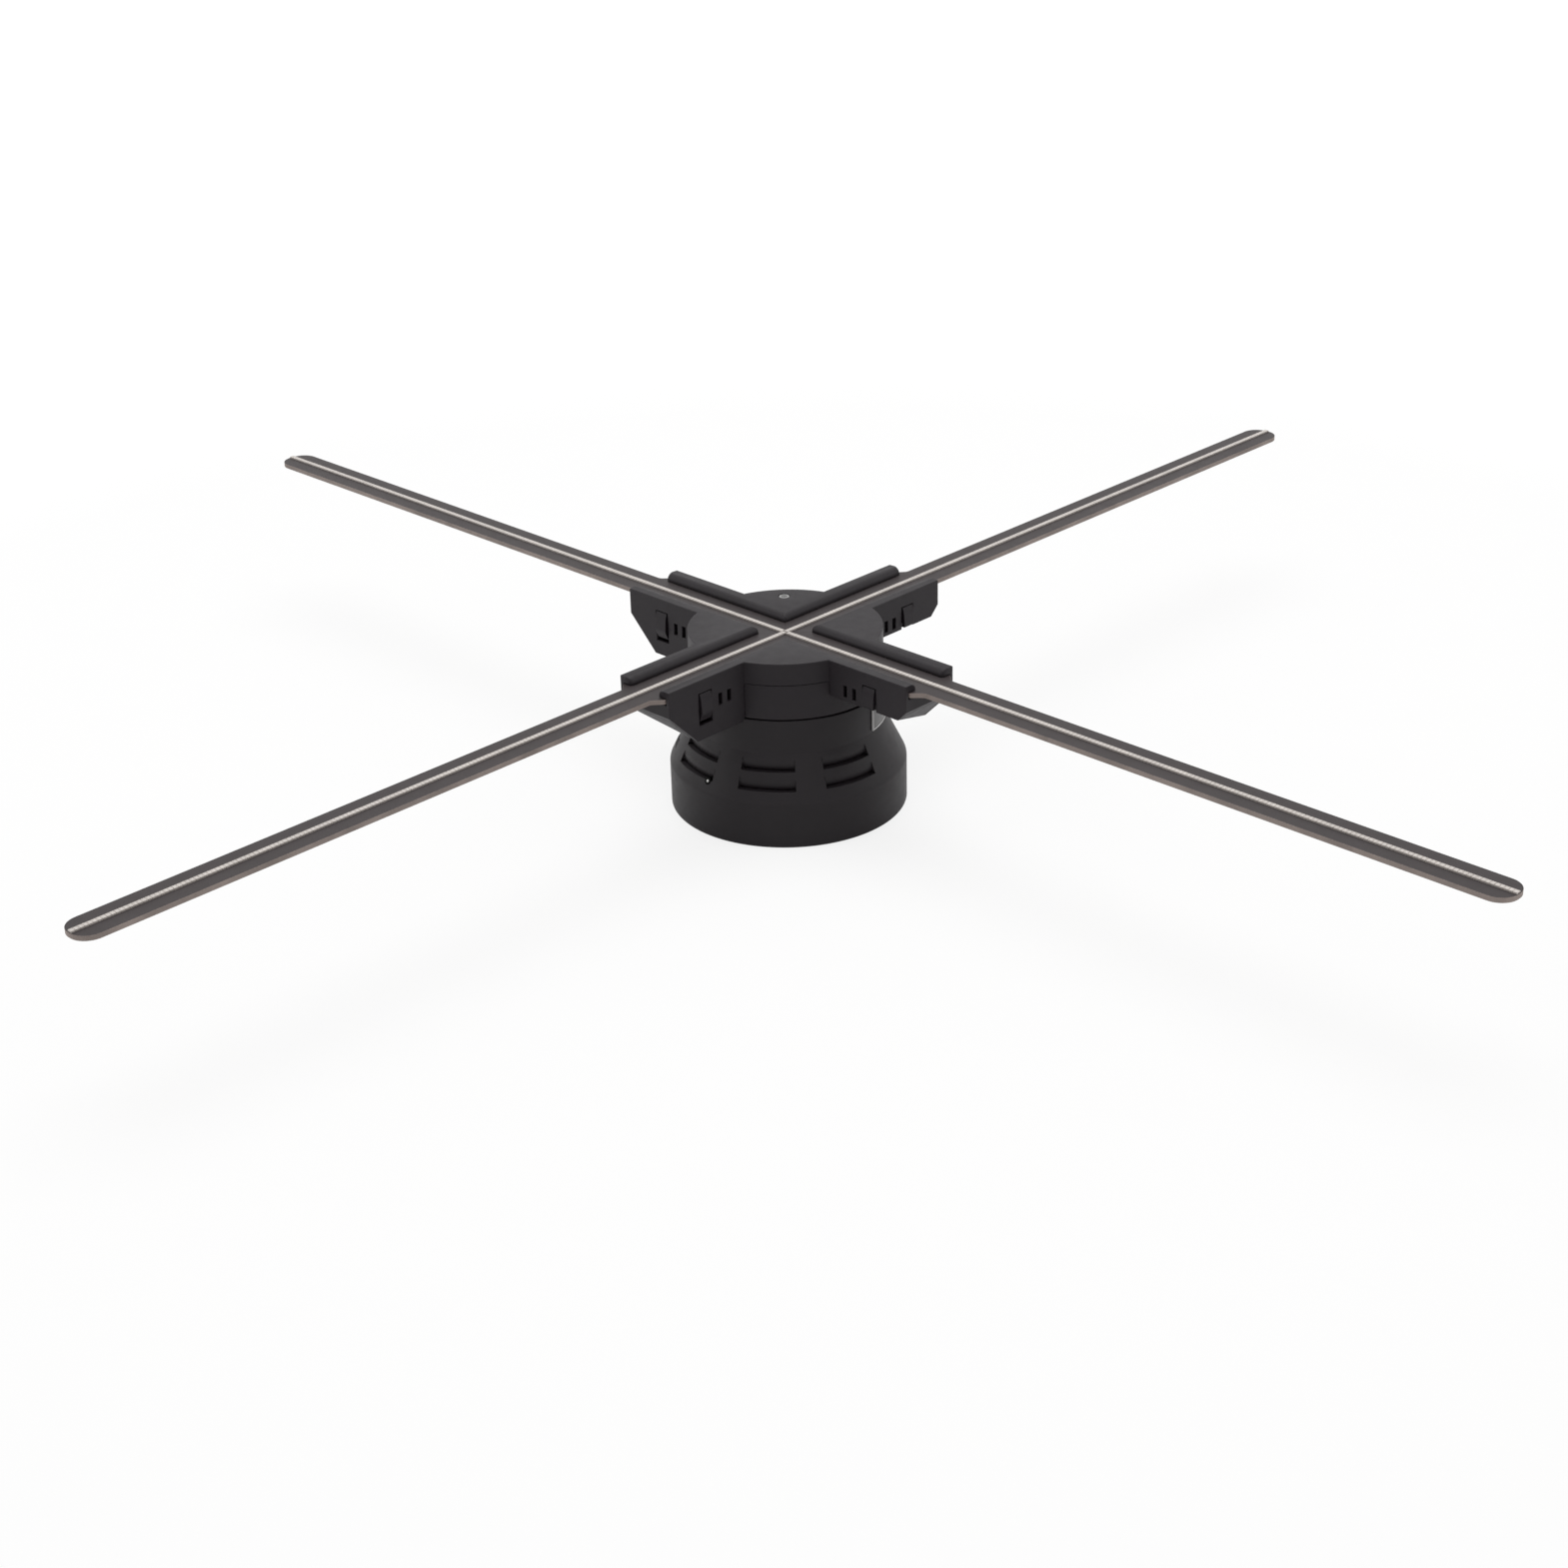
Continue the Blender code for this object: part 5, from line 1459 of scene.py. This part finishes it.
    def build(self) -> None:
        """Builds the blade."""
        number, turn = self.arm.value, self.arm.angle
        body = f"blade_{number}"
        board = self.board().moved(turn).mesh(f"blade board {number}")
        made = piece(board, f"blade_board_{number}_laminate", body, "board_lacquer", BOARD_MASK, BOARD_EDGE)
        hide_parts(f"blade_board_{number}")
        row = self.led_row().moved(turn).mesh(f"LED row {number}")
        made = piece(row, f"led_row_{number}_packages", body, "led_cream", LED_BODY, LED_WINDOW)
        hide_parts(f"led_row_{number}")
        chips = self.underside().moved(turn).mesh(f"driver chips {number}")
        piece(chips, f"blade_{number}_driver_chips", body, "inlet_plastic", CHIP_RESIN, SOLDER)
        fingers = self.contacts().moved(turn).mesh(f"contact fingers {number}")
        piece(fingers, f"blade_{number}_contact_fingers", body, "copper_wire", CONTACT_GOLD)


@dataclass
class WorkingParts:
    """The parts inside the base and hub, which keep their CAD shapes and only get their finishes."""

    finishes: dict[str, Finish] = field(default_factory=lambda: {
        "driver_board": GREEN_BOARD,
        "main_board": GREEN_BOARD,
        "motor_mount": ALUMINIUM,
        "rotor_bell": ALUMINIUM,
        "drive_flange": ALUMINIUM,
        "lower_bearing": STEEL,
        "upper_bearing": STEEL,
        "spindle": STEEL,
        "spindle_nut": DARK_STEEL,
        "spindle_clip": DARK_STEEL,
        "stator_core": LAMINATION,
        "stator_coil": COPPER,
        "transmit_coil": COPPER,
        "receive_coil": COPPER,
        "magnet_ring": MAGNET,
        "contact_block": INLET_PLASTIC,
    })

    def build(self, nodes: dict[str, bpy.types.Object]) -> None:
        """Dresses every part by its name without a number.

        Args:
            nodes: The CAD nodes by name.
        """
        for name, node in nodes.items():
            finish = self.finishes.get(name.rstrip("_0123456789"))
            if finish is not None:
                node.data.materials.clear()
                node.data.materials.append(FinishRack.get(finish))
                LOG.info("%s: %s", name, finish.name)


DIRECT = ("Is Camera Ray",)
REFLECTED = ("Is Glossy Ray", "Is Transmission Ray")


def looked_at(tree: bpy.types.NodeTree, kinds: tuple[str, ...]) -> bpy.types.NodeSocket:
    """Adds a value that is 1 for rays of the given kinds, and 0 for the rest.

    Args:
        tree: Node tree that gets the value.
        kinds: Names of the kinds of ray.

    Returns:
        The value.
    """
    rays = tree.nodes.new("ShaderNodeLightPath")
    value = rays.outputs[kinds[0]]
    for kind in kinds[1:]:
        either = tree.nodes.new("ShaderNodeMath")
        either.operation = "MAXIMUM"
        tree.links.new(value, either.inputs[0])
        tree.links.new(rays.outputs[kind], either.inputs[1])
        value = either.outputs["Value"]
    return value


def swung(first: Vector, second: Vector, angle: float) -> tuple[Vector, Vector]:
    """Turns two directions in their own plane, the first towards the second."""
    cos, sin = math.cos(angle), math.sin(angle)
    return first * cos + second * sin, second * cos - first * sin


@dataclass
class Studio:
    """The pale floor, the soft lights and the camera."""

    focal_pixels: float = 2681.56
    picture_pixels: float = 1569.0
    distance: float = 1060.33 * MM
    aim_height: float = 70.5 * MM
    elevation: float = math.radians(22.737)
    azimuth: float = -0.0022
    roll: float = -0.025923
    offset: tuple[float, float] = (1.328, 149.762)
    floor_size: float = 6.0
    floor_albedo: float = 0.80
    floor_share: float = 0.25
    floor_lift: float = 0.80
    floor_glow: float = 0.25
    fade_start: float = 0.5
    fade_end: float = 1.6
    floor_drop: float = 0.05 * MM
    floor_patches: float = 40.0
    floor_vary: float = 0.005
    surround: float = 0.45
    surround_color: tuple[float, float, float, float] = (1.0, 0.99, 0.985, 1.0)
    sensor: float = 36.0
    clip: tuple[float, float] = (0.01, 50.0)
    light_aim: tuple[float, float, float] = (0.0, 0.0, 0.05)
    lights: tuple[tuple[str, tuple[float, float, float], float, float], ...] = (
        ("overhead light", (0.0, 0.25, 1.9), 1.6, 20.0),
        ("left light", (-2.0, 0.0, 1.1), 1.4, 6.0),
        ("right light", (2.0, 0.0, 1.1), 1.4, 5.0),
    )

    def axes(self) -> tuple[Vector, Vector, Vector, Vector]:
        """Works out where the camera stands and how it is turned.

        Returns:
            Its place, and the directions of its right side, its top and its view.
        """
        flat, raised = math.cos(self.elevation), math.sin(self.elevation)
        back = Vector((math.sin(self.azimuth) * flat, -math.cos(self.azimuth) * flat, raised))
        ahead = -back
        side = ahead.cross(Vector((0.0, 0.0, 1.0))).normalized()
        rise = side.cross(ahead)
        right, up = swung(side, rise, self.roll)
        pan = math.atan2(self.offset[0], self.focal_pixels)
        right, ahead = swung(right, ahead, pan)
        tilt = math.atan2(self.offset[1] * math.cos(pan), self.focal_pixels)
        up, ahead = swung(up, ahead, tilt)
        place = Vector((0.0, 0.0, self.aim_height)) + back * self.distance
        return place, right, up, ahead

    def camera(self) -> None:
        """Puts the camera where the photo was taken from."""
        place, right, up, ahead = self.axes()
        data = bpy.data.cameras.new("camera")
        data.sensor_width = self.sensor
        data.lens = self.sensor * self.focal_pixels / self.picture_pixels
        data.clip_start, data.clip_end = self.clip
        made = bpy.data.objects.new("camera", data)
        turn = Matrix((right, up, -ahead)).transposed().to_4x4()
        made.matrix_world = Matrix.Translation(place) @ turn
        bpy.context.scene.collection.objects.link(made)
        bpy.context.scene.camera = made

    def light(
        self, name: str, place: tuple[float, float, float], size: float, power: float
    ) -> bpy.types.Object:
        """Adds a soft square light that faces the middle of the fan.

        Args:
            name: Name of the light.
            place: Where it stands.
            size: Length of its side.
            power: Power in watts.

        Returns:
            The light.
        """
        data = bpy.data.lights.new(name, "AREA")
        data.shape = "SQUARE"
        data.size = size
        data.energy = power
        made = bpy.data.objects.new(name, data)
        made.location = place
        aim = Vector(self.light_aim) - Vector(place)
        made.rotation_euler = aim.to_track_quat("-Z", "Y").to_euler()
        bpy.context.scene.collection.objects.link(made)
        return made

    def floor(self) -> bpy.types.Object:
        """Lays the floor: a large sheet, white to the camera away from the fan's shadow, and more so far off.

        Returns:
            The floor.
        """
        half = self.floor_size / 2
        line = np.linspace(-half, half, 3)
        x, y = np.meshgrid(line, line, indexing="ij")
        mesh = Surface.grid(np.stack([x, y, np.full_like(x, -self.floor_drop)], axis=-1)).mesh("floor")
        made = bpy.data.objects.new("floor", mesh)
        bpy.context.scene.collection.objects.link(made)
        sheet = NodeSheet("pale floor")
        output = sheet.add("OutputMaterial")
        place = sheet.add("TexCoord").outputs["Object"]
        grain = sheet.span(sheet.noise(place, self.floor_patches), 0.0, 1.0)
        paint = self.paint(sheet, grain, self.floor_albedo)
        veil = self.paint(sheet, grain, self.floor_albedo * self.floor_share)
        away = sheet.add("VectorMath", operation="LENGTH")
        sheet.wire(place, away.inputs[0])
        far = sheet.add("MapRange")
        far.inputs["From Min"].default_value = self.fade_start
        far.inputs["From Max"].default_value = self.fade_end
        far.inputs["To Min"].default_value = self.floor_lift
        sheet.wire(away.outputs["Value"], far.inputs["Value"])
        lift = sheet.add("Emission")
        sheet.wire(far.outputs["Result"], lift.inputs["Strength"])
        both = sheet.add("AddShader")
        sheet.wire(veil, both.inputs[0])
        sheet.wire(lift.outputs["Emission"], both.inputs[1])
        glow = sheet.add("Emission")
        glow.inputs["Strength"].default_value = self.floor_glow
        mirrored = sheet.add("AddShader")
        sheet.wire(paint, mirrored.inputs[0])
        sheet.wire(glow.outputs["Emission"], mirrored.inputs[1])
        shader = paint
        for rays, seen in ((REFLECTED, mirrored), (DIRECT, both)):
            choice = sheet.add("MixShader")
            sheet.wire(looked_at(sheet.tree, rays), choice.inputs["Fac"])
            sheet.wire(shader, choice.inputs[1])
            sheet.wire(seen.outputs["Shader"], choice.inputs[2])
            shader = choice.outputs["Shader"]
        sheet.wire(shader, output.inputs["Surface"])
        mesh.materials.append(sheet.material)
        return made

    def paint(self, sheet: NodeSheet, grain: bpy.types.NodeSocket, albedo: float) -> bpy.types.NodeSocket:
        """Adds a matt paint.

        Args:
            sheet: Node tree being laid out.
            grain: Pattern that the paint varies with.
            albedo: Share of the light that it gives back.

        Returns:
            The paint's shader.
        """
        node = sheet.add("BsdfDiffuse")
        dark, pale = (albedo * (1.0 - self.floor_vary),) * 3, (albedo * (1.0 + self.floor_vary),) * 3
        sheet.wire(sheet.blend(grain, dark, pale), node.inputs["Color"])
        return node.outputs["BSDF"]

    def world(self) -> None:
        """Surrounds the set with a soft even light."""
        made = bpy.data.worlds.new("studio")
        bpy.context.scene.world = made
        made.use_nodes = True
        tree = made.node_tree
        tree.nodes.clear()
        output = tree.nodes.new("ShaderNodeOutputWorld")
        seen = tree.nodes.new("ShaderNodeBackground")
        felt = tree.nodes.new("ShaderNodeBackground")
        choice = tree.nodes.new("ShaderNodeMixShader")
        seen.inputs["Color"].default_value = (1.0, 1.0, 1.0, 1.0)
        felt.inputs["Color"].default_value = self.surround_color
        felt.inputs["Strength"].default_value = self.surround
        tree.links.new(looked_at(tree, DIRECT + REFLECTED), choice.inputs[0])
        tree.links.new(felt.outputs[0], choice.inputs[1])
        tree.links.new(seen.outputs[0], choice.inputs[2])
        tree.links.new(choice.outputs[0], output.inputs["Surface"])

    def build(self) -> None:
        """Sets the studio up."""
        self.world()
        lights = [self.light(*settings) for settings in self.lights]
        self.floor()
        self.camera()
        bpy.context.scene.view_settings.view_transform = "Standard"


def corners(found: object) -> list[list[float]]:
    """Gives a pair of corners as plain lists."""
    return [[float(value) for value in corner] for corner in found]


def main() -> None:
    """Builds the fan on its frame and sets up the studio."""
    logging.basicConfig(level=logging.INFO, format="%(message)s")
    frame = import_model()
    nodes = frame["nodes"]
    housing = BaseHousing()
    housing.build()
    BaseFittings(housing).build(nodes)
    Hub().build(nodes)
    for arm in Arm:
        Blade(arm).build()
    WorkingParts().build(nodes)
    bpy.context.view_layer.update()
    Studio().build()


if __name__ == "__main__":
    main()
